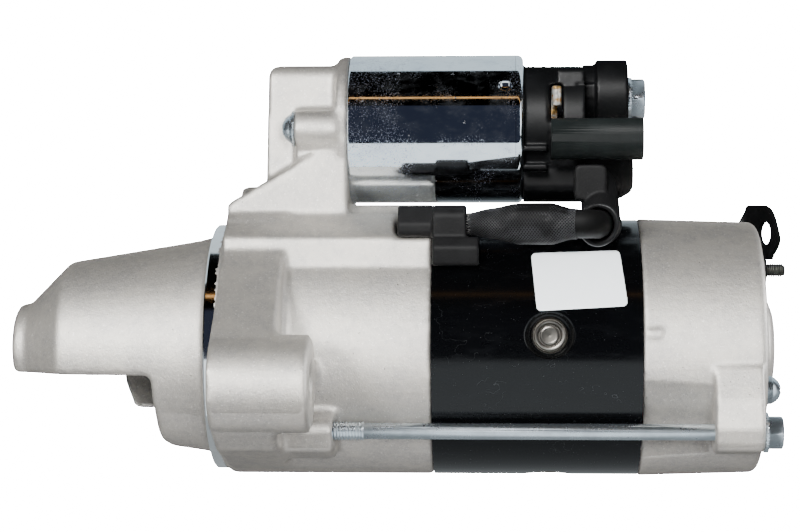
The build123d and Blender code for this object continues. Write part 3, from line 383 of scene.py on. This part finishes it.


# %% [markdown]
# ## Die-cast aluminium
# Both end castings are tumbled die castings: pale warm grey with a broad soft sheen, a fine sandy grain,
# faint flow clouds and a few pits. The grain is a bump and a colour change together. Near-white specks are
# painted glints, a painted highlight, and the pits are darkened in colour as painted shade inside them.

# %% Cast aluminium


def cast_aluminium():
    finish = Finish("cast_aluminium")
    grain = finish.noise(0.45 * MM, 3, 0.7)
    speck = finish.noise(0.9 * MM, 2, 0.6, shift=(1.3, 0, 0))
    cloud = finish.noise(13 * MM, 3, 0.6)
    stain = finish.noise(5 * MM, 4, 0.65, shift=(3.1, 0, 0))
    # pits: a real dip and a rougher spot, and their near-black colour is painted shade inside them
    pits_with_painted_shade = finish.noise(0.9 * MM, 1, 0.5, shift=(0, 7.7, 0)).between(0.74, 0.82)
    # painted glints: near-white specks in the colour, a painted highlight on single grains
    painted_glints = finish.noise(0.6 * MM, 1, 0.5, shift=(0, 0, 5.5)).between(0.64, 0.74)
    mottle = finish.noise(1.7 * MM, 2, 0.6, shift=(0, 2.2, 6.1)).between(0.35, 0.65)
    colour = finish.mix(cloud.between(0.35, 0.65), (0.47, 0.462, 0.455), (0.62, 0.60, 0.565))
    colour = finish.mix(stain.between(0.48, 0.70) * 0.5, colour, (0.42, 0.415, 0.42))
    colour = finish.mix(grain.between(0.3, 0.7) * 0.55, colour, (0.70, 0.68, 0.65))
    colour = finish.mix(mottle * 0.30, colour, (0.74, 0.715, 0.665))
    colour = finish.mix(painted_glints * 0.55, colour, (0.95, 0.94, 0.92))
    colour = finish.mix(pits_with_painted_shade * 0.5, colour, (0.15, 0.145, 0.14))
    rough = 0.47 + grain * 0.16 - cloud * 0.06 + pits_with_painted_shade * 0.2
    height = grain * 0.7 + speck * 0.9 + stain * 0.7 - pits_with_painted_shade * 1.2
    return finish.set(Base_Color=colour, Metallic=0.9, Roughness=rough, Normal=finish.bump(height, 0.09 * MM))


def turned_aluminium():
    """The pilot is turned in a lathe: a mirror with rings a few hundredths of a millimetre wide."""
    finish = Finish("turned_aluminium")
    rings = finish.noise(0.12 * MM, 2, 0.6, stretch=(1, 0.004, 0.004))
    smudge = finish.noise(7 * MM, 3, 0.6)
    colour = finish.mix(smudge.between(0.4, 0.7) * 0.3, (0.88, 0.89, 0.90), (0.66, 0.66, 0.66))
    rough = 0.06 + rings * 0.05 + smudge * 0.05
    normal = finish.bump(rings, 0.0015 * MM)
    return finish.set(Base_Color=colour, Metallic=1.0, Roughness=rough, Normal=normal)


FINISHES = {"cast_aluminium": cast_aluminium(), "turned_aluminium": turned_aluminium()}
print("finishes", list(FINISHES))

# %% [markdown]
# ## Plain finishes
# The other pieces share a few families: plated steel, ground steel, dark hardened steel, copper, moulded
# plastic, rubber. Each family is one function, so its members differ by a few numbers.

# %% Families of finish


def metal(name, colour, rough, scratch=0.4, tone=0.12, grain=0.5, metallic=1.0):
    """Bare or plated metal with smudges, fine scratches and a slight grain."""
    finish = Finish(name)
    smudge = finish.noise(6 * MM, 3, 0.6)
    fine = finish.noise(grain * MM, 2, 0.6)
    lines = finish.noise(0.9 * MM, 3, 0.7, stretch=(0.08, 1, 1)).between(0.62, 0.70)
    dark = tuple(c * (1 - 2 * tone) for c in colour)
    mixed = finish.mix(smudge.between(0.4, 0.7) * 0.6 + fine * 0.25, colour, dark)
    roughness = rough + smudge * 0.12 + lines * scratch * 0.25
    normal = finish.bump(fine * 0.5 + lines * scratch, 0.008 * MM)
    return finish.set(Base_Color=mixed, Metallic=metallic, Roughness=roughness, Normal=normal)


def moulding(name, colour, rough, grain=0.35, depth=0.02, tone=0.25, shine=0.35, dusty=0.12):
    """Matte moulded plastic or rubber with a leathery grain and faint dust."""
    finish = Finish(name)
    skin = finish.noise(grain * MM, 2, 0.6)
    cloud = finish.noise(9 * MM, 3, 0.55)
    dust = finish.noise(0.5 * MM, 2, 0.6, shift=(5, 5, 5)).between(0.70, 0.78)
    pale = tuple(c * (1 + 2 * tone) + 0.001 for c in colour)
    mixed = finish.mix(cloud.between(0.35, 0.7) * 0.8, colour, pale)
    mixed = finish.mix(dust * dusty, mixed, (0.3, 0.3, 0.3))
    normal = finish.bump(skin, depth * MM)
    roughness = rough + cloud * 0.1 + dust * 0.2
    return finish.set(Base_Color=mixed, Roughness=roughness, Specular_IOR_Level=shine, Normal=normal)


def gloss_black():
    """Black paint on rolled steel: glossy, with dust, faint wipe marks, hair scratches and orange peel."""
    finish = Finish("gloss_black")
    peel = finish.noise(1.8 * MM, 2, 0.5)
    wipe = finish.noise(3 * MM, 4, 0.65, stretch=(0.25, 1, 1))
    cloud = finish.noise(22 * MM, 2, 0.5, shift=(4, 1, 0))
    dust = finish.noise(0.5 * MM, 1, 0.5, shift=(2, 2, 2)).between(0.745, 0.80)
    swirl = finish.noise(7 * MM, 2, 0.5, shift=(0.02, 0, 0.03))
    hair = (swirl - 0.5).math("ABSOLUTE") < 0.0022
    hair = hair * finish.noise(11 * MM, 1, 0.5, shift=(9, 9, 9)).between(0.58, 0.64)
    worn = wipe.between(0.45, 0.8) * 0.5 + cloud * 0.3
    colour = finish.mix(worn, (0.0055, 0.006, 0.0072), (0.013, 0.0145, 0.017))
    colour = finish.mix(dust * 0.35 + hair * 0.20, colour, (0.30, 0.32, 0.34))
    rough = 0.15 + wipe.between(0.45, 0.75) * 0.14 + dust * 0.3
    normal = finish.bump(peel, 0.004 * MM)
    return finish.set(Base_Color=colour, Roughness=rough, Specular_IOR_Level=0.28, Normal=normal)


RIM_LINE = 2.6             # millimetres from the can's rear edge to a dark line painted round it: painted shade of a pressed line


def polished_zinc():
    """Bright zinc on the deep-drawn can: a mirror with pale specks in clusters, rub marks and a dark rim
    line, painted shade.
    """
    finish = Finish("polished_zinc")
    x = finish.along_x()
    speck = finish.noise(0.42 * MM, 2, 0.7)
    cluster = finish.noise(8 * MM, 2, 0.5, shift=(1, 4, 2))
    front = 1 - (x - can_low.x).between(12 * MM, 26 * MM)
    cluster = (cluster + front * 0.20).between(0.46, 0.72)
    marks = speck.between(0.55, 0.68) * cluster
    streak = finish.noise(1.6 * MM, 3, 0.7, stretch=(0.5, 1, 1), shift=(0.4, 0, 0)).between(0.70, 0.73)
    haze = finish.noise(16 * MM, 3, 0.55, shift=(7, 0, 0)).between(0.35, 0.75)
    scuff = finish.noise(4.5 * MM, 5, 0.72, stretch=(0.6, 1, 1), shift=(2, 2, 9)).between(0.46, 0.74)
    # painted shade: a thin dark line in the colour round the can near its rear edge, where a pressed line is
    rim = (x - can_high.x + RIM_LINE * MM).math("ABSOLUTE") < 0.14 * MM
    colour = finish.mix(haze, (0.84, 0.90, 0.94), (0.74, 0.80, 0.86))
    colour = finish.mix(scuff * 0.5, colour, (0.60, 0.64, 0.74))
    colour = finish.mix(marks, colour, (0.42, 0.46, 0.62))
    colour = finish.mix(streak, colour, (0.92, 0.94, 1.0))
    colour = finish.mix(rim * 0.6, colour, (0.35, 0.38, 0.42))
    metallic = 1.0 - scuff * 0.10 - marks * 0.45 - streak * 0.6
    rough = 0.035 + haze * 0.03 + scuff * 0.06 + marks * 0.40 + streak * 0.3
    normal = finish.bump(marks * 0.6 + streak, 0.006 * MM)
    return finish.set(Base_Color=colour, Metallic=metallic, Roughness=rough, Normal=normal)


def golden_solder():
    """Soldered coil end: yellow lacquered wire under a crumpled skin of bright solder."""
    finish = Finish("golden_solder")
    lump = finish.noise(1.4 * MM, 3, 0.6)
    tint = finish.noise(2.4 * MM, 2, 0.6, shift=(0, 3, 0)).between(0.40, 0.62)
    colour = finish.mix(tint, (0.88, 0.86, 0.80), (0.72, 0.42, 0.14))
    rough = 0.22 + lump * 0.2
    return finish.set(Base_Color=colour, Metallic=0.9, Roughness=rough, Normal=finish.bump(lump, 0.5 * MM))


NEAR_BLACK = (0.006, 0.006, 0.0065)
FINISHES.update({
    "black_paint": gloss_black(),
    "bracket_paint": moulding("bracket_paint", NEAR_BLACK, 0.38, grain=0.6, depth=0.01, shine=0.3),
    "polished_zinc": polished_zinc(),
    "zinc_plate": metal("zinc_plate", (0.60, 0.66, 0.71), 0.22, scratch=0.25, tone=0.14, grain=1.6,
                        metallic=0.92),
    "machined_steel": metal("machined_steel", (0.58, 0.58, 0.58), 0.24),
    "stained_zinc": metal("stained_zinc", (0.33, 0.31, 0.275), 0.24, scratch=0.9, tone=0.25, grain=0.8,
                          metallic=0.95),
    "dull_zinc": metal("dull_zinc", (0.42, 0.43, 0.40), 0.30, scratch=0.6, tone=0.2, grain=0.6, metallic=0.9),
    "hardened_steel": metal("hardened_steel", (0.30, 0.295, 0.29), 0.34, scratch=0.6),
    "laminated_iron": metal("laminated_iron", (0.30, 0.29, 0.28), 0.42, scratch=0.9),
    "copper": metal("copper", (0.86, 0.46, 0.30), 0.28, scratch=0.6),
    "bronze": metal("bronze", (0.66, 0.47, 0.26), 0.42),
    "bare_strand": metal("bare_strand", (0.80, 0.80, 0.78), 0.3, metallic=0.8),
    "solder": golden_solder(),
    "insulated_winding": moulding("insulated_winding", (0.22, 0.06, 0.02), 0.28),
    "carbon": moulding("carbon", (0.03, 0.03, 0.031), 0.5),
    "black_plastic": moulding("black_plastic", (0.0058, 0.0062, 0.0068), 0.34, shine=0.5),
    "connector_plastic": moulding("connector_plastic", (0.012, 0.016, 0.0158), 0.44, grain=0.45, depth=0.03,
                                  shine=0.5),
    "black_rubber": moulding("black_rubber", (0.011, 0.0112, 0.0118), 0.52, grain=0.5, depth=0.05, tone=0.3,
                             shine=0.4),
    "lip_rubber": moulding("lip_rubber", (0.016, 0.017, 0.018), 0.30, grain=0.6, shine=0.6, dusty=0.3),
    "braided_sleeve": moulding("braided_sleeve", (0.006, 0.006, 0.0062), 0.55, grain=0.4, depth=0.03),
    "sleeve_strand": moulding("sleeve_strand", (0.034, 0.035, 0.037), 0.34, grain=0.3, depth=0.01, tone=0.9,
                              shine=0.5, dusty=0.5),
    "white_label": moulding("white_label", (0.87, 0.93, 0.985), 0.38, grain=0.2, depth=0.004, tone=0.01),
})
print("finishes", len(FINISHES))

# %% [markdown]
# ## Merged copies
# A CAD node is loose triangles, each with its own corners. A copy with its doubles merged shades smoothly
# over its curves and stays crisp at its edges. The copy replaces the node.

# %% Merged copies
slots = {part["node"]: part["material_slot"] for part in frame["record"]["subparts"]}
MIRRORS = {"polished_zinc", "turned_aluminium", "black_paint"}
METALS = {"zinc_plate", "machined_steel", "stained_zinc", "hardened_steel", "laminated_iron", "copper",
          "bronze", "bare_strand", "solder"}


def linked(name, bm):
    """A new object in the scene from a bmesh, which is freed."""
    mesh = bpy.data.meshes.new(name)
    bm.to_mesh(mesh)
    bm.free()
    obj = bpy.data.objects.new(name, mesh)
    bpy.context.scene.collection.objects.link(obj)
    return obj


def merged_bmesh(node):
    """The node's shape with its doubles merged."""
    bm = bmesh.new()
    bm.from_mesh(frame["nodes"][node].data)
    bmesh.ops.remove_doubles(bm, verts=bm.verts, dist=1e-6)
    return bm


def smooth_over(obj, degrees=32):
    """Smooth shading, with edges sharper than the angle kept crisp."""
    for face in obj.data.polygons:
        face.use_smooth = True
    obj.data.set_sharp_from_angle(angle=math.radians(degrees))
    return obj


def shade_round(obj, z, radius):
    """Exact normals on a round wall about a line along X: its long thin facets then mirror without kinks."""
    mesh = obj.data
    corners = [corner.vector.copy() for corner in mesh.corner_normals]
    for face in mesh.polygons:
        spots = [mesh.vertices[v].co for v in face.vertices]
        if all(abs(math.hypot(p.y, p.z - z) - radius) < 0.012 * MM for p in spots):
            for loop in face.loop_indices:
                p = mesh.vertices[mesh.loops[loop].vertex_index].co
                corners[loop] = Vector((0, p.y, p.z - z)).normalized()
    mesh.normals_split_custom_set(corners)
    return obj


def adopt(obj, node, finish):
    """Makes a finished piece stand for a CAD node, on the node's body, in a finish."""
    obj.data.materials.clear()
    obj.data.materials.append(FINISHES[finish])
    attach(obj, frame["nodes"][node]["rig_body"])
    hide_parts(node)
    light(obj, finish)
    return obj


def light(obj, finish):
    """Puts a piece in the collections that say which lamps and cards it answers to."""
    if finish in ("cast_aluminium", "white_label"):
        castings.objects.link(obj)
    elif finish not in MIRRORS:
        trim.objects.link(obj)
    if finish in MIRRORS or finish in METALS:
        shiny.objects.link(obj)


print("slots", len(set(slots.values())))

# %% [markdown]
# ## Round cast edges
# No edge of a casting or a rubber moulding is sharp. A voxel remesh gives an even skin over the CAD shape,
# smoothing rounds its edges and inner corners, and then every point that stayed close to the CAD surface is
# put back on it, so flats stay flat and only the edges keep their new radius.

# %% Softened skins


def relax(bm, factor):
    """Moves every vert towards the mean of its neighbours."""
    bmesh.ops.smooth_vert(bm, verts=bm.verts, factor=factor,
                          use_axis_x=True, use_axis_y=True, use_axis_z=True)


def softened(node, voxel, passes, hold):
    """An even skin over the node with rounded edges; points within hold of the CAD surface go back to it."""
    sharp = merged_bmesh(node)
    tree = BVHTree.FromBMesh(sharp)
    obj = linked(node + "_skin", sharp)
    remesh = obj.modifiers.new("skin", "REMESH")
    remesh.mode = "VOXEL"
    remesh.voxel_size = voxel
    mesh = bpy.data.meshes.new_from_object(obj.evaluated_get(bpy.context.evaluated_depsgraph_get()))
    bpy.data.objects.remove(obj)
    bm = bmesh.new()
    bm.from_mesh(mesh)
    for _ in range(passes):
        relax(bm, 0.5)
    for vert in bm.verts:
        place, _, _, distance = tree.find_nearest(vert.co)
        if distance < hold:
            vert.co = place
        elif distance < 3 * hold:
            share = (3 * hold - distance) / (2 * hold)
            vert.co = vert.co.lerp(place, share)
    relax(bm, 0.25)
    return linked(node + "_piece", bm)


# voxel size, smoothing passes and hold, all lengths in millimetres
SOFT = {
    "drive_end_housing": (1.12, 3, 0.09),
    "commutator_end_cover": (0.9, 3, 0.08),
    "terminal_boot": (0.45, 5, 0.05),
    "lead_grommet": (0.40, 6, 0.04),
    "battery_shroud": (0.5, 2, 0.06),
    "terminal_cap": (0.5, 2, 0.05),
}
for node, (voxel, passes, hold) in SOFT.items():
    skin = softened(node, voxel * MM, passes, hold * MM)
    adopt(smooth_over(skin, 80), node, slots[node])
    print(node, "triangles", 2 * len(skin.data.polygons))

# %% [markdown]
# ## Crisp pieces
# Machined, pressed and rolled pieces keep their CAD shape, and their edges stay crisp.

# %% Crisp pieces
OWN_FINISH = {"solenoid_case": "polished_zinc", "harness_bracket": "bracket_paint"}
ROUND_WALLS = {"solenoid_case": (solenoid_z, can_radius), "yoke": (0.0, yoke_radius)}
REMODELLED = {"through_bolt", "through_stud", "pole_screws", "brush_springs", "plunger_spring",
              "contact_spring"}
for node in sorted(set(slots) - set(SOFT) - REMODELLED):
    piece = linked(node + "_piece", merged_bmesh(node))
    smooth_over(piece)
    if node in ROUND_WALLS:
        shade_round(piece, *ROUND_WALLS[node])
    adopt(piece, node, OWN_FINISH.get(node, slots[node]))
print("crisp", len(slots) - len(SOFT) - len(REMODELLED))

# %% [markdown]
# ## Turned shapes
# A lathe turns an outline about an axis. The outline is a chain of edges, and a full spin about a line along
# X makes the skin. The pilot's mirror ring is such a skin, two hundredths of a millimetre above the casting.

# %% Turned shapes
FULL_TURN = 2 * math.pi


def chain(bm, points):
    """A chain of edges through points, as the verts and edges that an operator takes."""
    verts = [bm.verts.new(point) for point in points]
    return verts + [bm.edges.new(pair) for pair in zip(verts, verts[1:])]


def spun(outline, y=0.0, z=0.0, steps=96):
    """Turns an outline of (x, r) points, in millimetres, about a line along X."""
    bm = bmesh.new()
    geom = chain(bm, [(x * MM, y, z + r * MM) for x, r in outline])
    bmesh.ops.spin(bm, geom=geom, cent=(0, y, z), axis=(1, 0, 0), angle=FULL_TURN, steps=steps,
                   use_merge=True)
    bmesh.ops.remove_doubles(bm, verts=bm.verts, dist=1e-7)
    bmesh.ops.recalc_face_normals(bm, faces=bm.faces)
    return bm


SKIN_R = 41.02             # the pilot's radius and a little more, in millimetres
ring_outline = [(-5.4, 40.3), (-5.52, 40.4), (-5.52, 40.5), (-5.02, SKIN_R), (-0.05, SKIN_R), (-0.05, 40.3),
                (-5.4, 40.3)]
pilot = linked("pilot_ring", spun(ring_outline, steps=160))
pilot.data.materials.append(FINISHES["turned_aluminium"])
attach(smooth_over(pilot, 20), frame["nodes"]["drive_end_housing"]["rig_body"])
light(pilot, "turned_aluminium")
print("pilot faces", len(pilot.data.polygons))

# %% [markdown]
# ## Threads
# A thread is one tooth outline carried round the axis while it advances by one pitch a turn: a spin with a
# shift. The ends are then cut square and closed. The shank and the head come from the CAD copy, cut where the
# thread starts.

# %% Threads


def thread(core, crest, pitch, x0, x1, y, z):
    """A helical thread between x0 and x1, in millimetres, about a line along X through (y, z) in metres."""
    tooth = [(0.0, core), (0.36, crest), (0.54, crest), (0.90, core), (1.0, core)]
    steps = 28
    turns = math.ceil((x1 - x0) / pitch) + 2
    bm = bmesh.new()
    geom = chain(bm, [((x0 + (t - 1) * pitch) * MM, y, z + r * MM) for t, r in tooth])
    bmesh.ops.spin(bm, geom=geom, cent=(0, y, z), axis=(1, 0, 0), dvec=(pitch * MM / steps, 0, 0),
                   angle=FULL_TURN * turns, steps=steps * turns)
    bmesh.ops.remove_doubles(bm, verts=bm.verts, dist=2e-6)
    keep_between(bm, x0, x1)
    bmesh.ops.recalc_face_normals(bm, faces=bm.faces)
    return bm


def keep_between(bm, x0, x1):
    """Cuts away what lies before x0 and after x1, in millimetres, and closes the cuts."""
    for x, normal in ((x0, (-1, 0, 0)), (x1, (1, 0, 0))):
        geom = bm.verts[:] + bm.edges[:] + bm.faces[:]
        bmesh.ops.bisect_plane(bm, geom=geom, plane_co=(x * MM, 0, 0), plane_no=normal, clear_outer=True)
        bmesh.ops.holes_fill(bm, edges=[edge for edge in bm.edges if edge.is_boundary])


def joined(name, parts):
    """One object from several bmeshes."""
    whole = bmesh.new()
    for part in parts:
        mesh = bpy.data.meshes.new("part")
        part.to_mesh(mesh)
        part.free()
        whole.from_mesh(mesh)
        bpy.data.meshes.remove(mesh)
    return linked(name, whole)


THREAD_END = 45.9          # where the near bolt's thread runs out, in millimetres
SHOULDER = 182.3           # where the far one's stud begins
near, far = middle("through_bolt"), middle("through_stud")
far_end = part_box("through_stud")[1].x / MM
shank = merged_bmesh("through_bolt")
keep_between(shank, THREAD_END - 0.4, 200)
bolt = joined("through_bolt_piece", [shank, thread(2.45, 3.0, 1.0, 35, THREAD_END, near.y, near.z)])
adopt(smooth_over(bolt), "through_bolt", "zinc_plate")
shank = merged_bmesh("through_stud")
keep_between(shank, 14.0, SHOULDER - 0.01)
adopt(smooth_over(linked("through_stud_piece", shank)), "through_stud", "zinc_plate")
flat_end = far_end - 0.02
tip = spun([(far_end - 1.6, 0), (far_end - 1.6, 2.2), (flat_end, 1.7), (flat_end, 0)], far.y, far.z, 32)
threaded = thread(1.95, 2.5, 0.8, SHOULDER - 0.1, far_end - 0.9, far.y, far.z)
stud = joined("through_stud_thread", [threaded, tip])
adopt(smooth_over(stud), "through_stud", "dull_zinc")
print("bolt triangles", len(bolt.data.polygons), "stud", len(stud.data.polygons))

# %% [markdown]
# ## Pole screws
# The screw that holds a pole shoe has a round head in a dished hole: a raised rim between two grooves, and a
# flat middle. It is turned from an outline and then tilted to its place.

# %% Pole screws
BODY_TOP = yoke_radius / MM
screw_x = middle("pole_screws").x
outline = [(33.0, 0.01), (33.0, 3.0), (BODY_TOP - 2.4, 3.0), (BODY_TOP - 2.4, 5.75), (BODY_TOP - 1.5, 5.8),
           (BODY_TOP - 1.3, 5.6), (BODY_TOP - 1.9, 5.2), (BODY_TOP - 1.9, 5.0), (BODY_TOP - 0.7, 4.7),
           (BODY_TOP - 0.5, 4.4), (BODY_TOP - 0.6, 3.95), (BODY_TOP - 1.1, 3.75), (BODY_TOP - 1.9, 3.5),
           (BODY_TOP - 1.9, 3.2), (BODY_TOP - 1.1, 2.9), (BODY_TOP - 1.0, 2.5), (BODY_TOP - 1.15, 1.9),
           (BODY_TOP - 1.1, 1.1), (BODY_TOP - 1.3, 0.01)]
FIRST_POLE = -7            # degrees from the near side
POLES = 4


def turn(degrees, axis):
    """Rotation about a main axis."""
    return Matrix.Rotation(math.radians(degrees), 4, axis)


screws = []
for quarter in range(POLES):
    screw = spun(outline, steps=48)
    placing = Matrix.Translation((screw_x, 0, 0)) @ turn(FIRST_POLE + 90 * quarter, "X") @ turn(90, "Z")
    bmesh.ops.transform(screw, matrix=placing, verts=screw.verts)
    screws.append(screw)
adopt(smooth_over(joined("pole_screws_piece", screws), 25), "pole_screws", "stained_zinc")
print("pole screws", len(screws))

# %% [markdown]
# ## Springs
# A coil spring is a small circle carried round its axis with a shift, like a thread. A real spring shortens
# when its piece moves; these coils keep their length and move with their node's body.

# %% Springs


def spring(name, mean_r, wire_r, length, turns):
    """An open coil along +X from the origin, all lengths in millimetres."""
    steps = 24
    bm = bmesh.new()
    ring = bmesh.ops.create_circle(bm, segments=10, radius=wire_r * MM)["verts"]
    start = Matrix.Translation((wire_r * MM, 0, mean_r * MM)) @ turn(90, "X")
    bmesh.ops.transform(bm, matrix=start, verts=ring)
    advance = (length - 2 * wire_r) * MM / (turns * steps)
    bmesh.ops.spin(bm, geom=ring + bm.edges[:], cent=(0, 0, 0), axis=(1, 0, 0), dvec=(advance, 0, 0),
                   angle=FULL_TURN * turns, steps=steps * turns)
    bmesh.ops.holes_fill(bm, edges=[edge for edge in bm.edges if edge.is_boundary])
    bmesh.ops.recalc_face_normals(bm, faces=bm.faces)
    return linked(name, bm)


def set_in_place(obj, matrix):
    """Applies a placing to the mesh, so that the object stays at the origin."""
    obj.data.transform(matrix)
    return smooth_over(obj, 50)


plunger_low, plunger_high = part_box("plunger_spring")
contact_low, contact_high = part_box("contact_spring")
for node, joint, low, high, mean_r, wire_r, turns, keep in (
        ("plunger_spring", "plunger_slide", plunger_low, plunger_high, 4.1, 0.6, 7, 0.596),
        ("contact_spring", "contact_slide", contact_low, contact_high, 3.6, 0.5, 5, 0.72)):
    coil = spring(node + "_piece", mean_r, wire_r, (high.x - low.x) / MM, turns)
    adopt(set_in_place(coil, Matrix.Translation((low.x, 0, solenoid_z))), node, "machined_steel")
    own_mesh(coil)

SPRING_FOOT, SPRING_SEAT, BRUSH_TRAVEL = 27.6, 34.7, 3.0
FIRST_BRUSH = 52           # degrees
BRUSHES = 4
brush_x = middle("brush_1").x
for k in range(BRUSHES):
    angle = math.radians(FIRST_BRUSH + 90 * k)
    coil = spring(f"brush_spring_{k + 1}", 2.4, 0.35, SPRING_SEAT - SPRING_FOOT, 5)
    placing = Matrix.Translation((brush_x, 0, 0)) @ Matrix.Rotation(angle, 4, "X") @ turn(90, "Z")
    placing = placing @ Matrix.Translation((SPRING_FOOT * MM, 0, 0))
    adopt(set_in_place(coil, placing), "brush_springs", "machined_steel")
    keep = (SPRING_SEAT - SPRING_FOOT - BRUSH_TRAVEL) / (SPRING_SEAT - SPRING_FOOT)
    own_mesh(coil)
print("springs", 2 + BRUSHES)

# %% [markdown]
# ## Woven sleeve
# The motor lead wears a braided sleeve. Its body is the CAD shape in dull black, and over it lie crossing
# strands that wind both ways, each a thin raised ribbon that rises and dips as it passes over and under the
# others. They are curves, because a curve is the plainest way to follow a path, and they are made one mesh.

# %% Woven sleeve
LEAD_START = Vector((78.5, -31.0, 40.6)) * MM
LEAD_BEND = Vector((119.6, -39.2, 40.3)) * MM
ALONG = (LEAD_BEND - LEAD_START).normalized()
SIDE = ALONG.cross(Vector((0, 0, 1))).normalized()
UP = SIDE.cross(ALONG)
SWELL = [(0.0, 3.0), (8.0, 4.75), (17.0, 6.42), (28.0, 6.42), (34.0, 4.8), (36.5, 4.66)]


def sleeve_radius(s):
    """Radius of the sleeve at s millimetres from the grommet, eased between the places in SWELL."""
    for (s0, r0), (s1, r1) in zip(SWELL, SWELL[1:]):
        if s <= s1:
            t = (s - s0) / (s1 - s0)
            return r0 + (r1 - r0) * (3 * t * t - 2 * t ** 3 + t) / 2
    return SWELL[-1][1]


def round_lead(s, angle, r):
    """Place at s millimetres along the lead, r millimetres from its middle, at an angle round it."""
    return LEAD_START + ALONG * s * MM + (UP * math.sin(angle) + SIDE * math.cos(angle)) * r * MM


def path(data, places):
    """Adds a path through the places to a curve."""
    spline = data.splines.new("POLY")
    spline.points.add(len(places) - 1)
    for point, place in zip(spline.points, places):
        point.co = (*place, 1)


def ribbon_mesh(name, data, width):
    """Curves given a thin section and made one mesh."""
    data.dimensions = "3D"
    data.bevel_depth = width / 2
    data.bevel_resolution = 0
    curve = bpy.data.objects.new(name + "_curve", data)
    bpy.context.scene.collection.objects.link(curve)
    mesh = bpy.data.meshes.new_from_object(curve.evaluated_get(bpy.context.evaluated_depsgraph_get()))
    bpy.data.objects.remove(curve)
    mesh.name = name
    obj = bpy.data.objects.new(name, mesh)
    bpy.context.scene.collection.objects.link(obj)
    return obj


print("sleeve radius", SWELL[0][1], "to", sleeve_radius(20), "mm")

# %% Braid
STRANDS = 30               # each way round
BRAID_START, BRAID_LENGTH = 0.4, 35.6
TURN_LENGTH = 30.0         # millimetres along the lead for one turn of a strand
STEPS = 119
braid = bpy.data.curves.new("braid", "CURVE")
for hand in (1, -1):
    for k in range(STRANDS):
        places = []
        for step in range(STEPS + 1):
            s = BRAID_START + BRAID_LENGTH * step / STEPS
            angle = FULL_TURN * k / STRANDS + hand * FULL_TURN * s / TURN_LENGTH
            lift = 0.05 + 0.05 * math.sin(STRANDS / 2 * angle)
            places.append(round_lead(s, angle, sleeve_radius(s) + lift))
        path(braid, places)
sleeve = ribbon_mesh("sleeve_braid", braid, 0.30 * MM)
adopt(smooth_over(sleeve, 60), "motor_lead", "sleeve_strand")
print("braid triangles", 2 * len(sleeve.data.polygons))

# %% [markdown]
# ## Fringe and lip
# At the grommet the sleeve's cut end shows a fringe of bright strands of uneven length. At its other end the
# mouth of the boot closes round it with a rolled rubber lip: a ring of small section, spun about the mouth's
# axis and then pulled a little out of round and out of flat, as soft rubber is.

# %% Fringe
random.seed(7)
FRINGE = 46
ends = bpy.data.curves.new("ends", "CURVE")
for k in range(FRINGE):
    angle = FULL_TURN * (k + 0.6 * random.random()) / FRINGE
    length = 0.9 + 1.3 * random.random()
    places = []
    for n in range(4):
        s = -0.1 + length * n / 3
        twist = angle + 0.10 * n * (random.random() - 0.5)
        places.append(round_lead(s, twist, sleeve_radius(max(s, 0)) + 0.20 + 0.10 * math.sin(2.5 * n)))
    path(ends, places)
fringe = ribbon_mesh("sleeve_fringe", ends, 0.24 * MM)
adopt(smooth_over(fringe, 60), "motor_lead", "bare_strand")
print("fringe strands", FRINGE)

# %% Lip
MOUTH = Vector((120.6, -33.6, 40.3)) * MM
MOUTH_DIRECTION = Vector((-0.2, -0.98, 0.0)).normalized()
LIP_R, LIP_WIRE = 6.25, 0.75
UNEVEN, OUT_OF_ROUND = 0.35 * MM, 0.03
lip = bmesh.new()
ring = bmesh.ops.create_circle(lip, segments=16, radius=LIP_WIRE * MM)["verts"]
bmesh.ops.transform(lip, matrix=Matrix.Translation((0, LIP_R * MM, 0)) @ turn(90, "Y"), verts=ring)
bmesh.ops.spin(lip, geom=ring + lip.edges[:], cent=(0, 0, 0), axis=(0, 0, 1), angle=FULL_TURN, steps=64,
               use_merge=True)
for vert in lip.verts:
    round_it = math.atan2(vert.co.y, vert.co.x)
    vert.co.z += UNEVEN * math.sin(2 * round_it + 0.6)
    vert.co.xy *= 1 + OUT_OF_ROUND * math.sin(3 * round_it)
bmesh.ops.recalc_face_normals(lip, faces=lip.faces)
facing = MOUTH_DIRECTION.to_track_quat("Z", "Y").to_matrix().to_4x4()
placing = Matrix.Translation(MOUTH + MOUTH_DIRECTION * 0.2 * MM) @ facing
bmesh.ops.transform(lip, matrix=placing, verts=lip.verts)
lip = linked("boot_lip", lip)
adopt(smooth_over(lip, 60), "terminal_boot", "lip_rubber")
print("lip faces", len(lip.data.polygons))
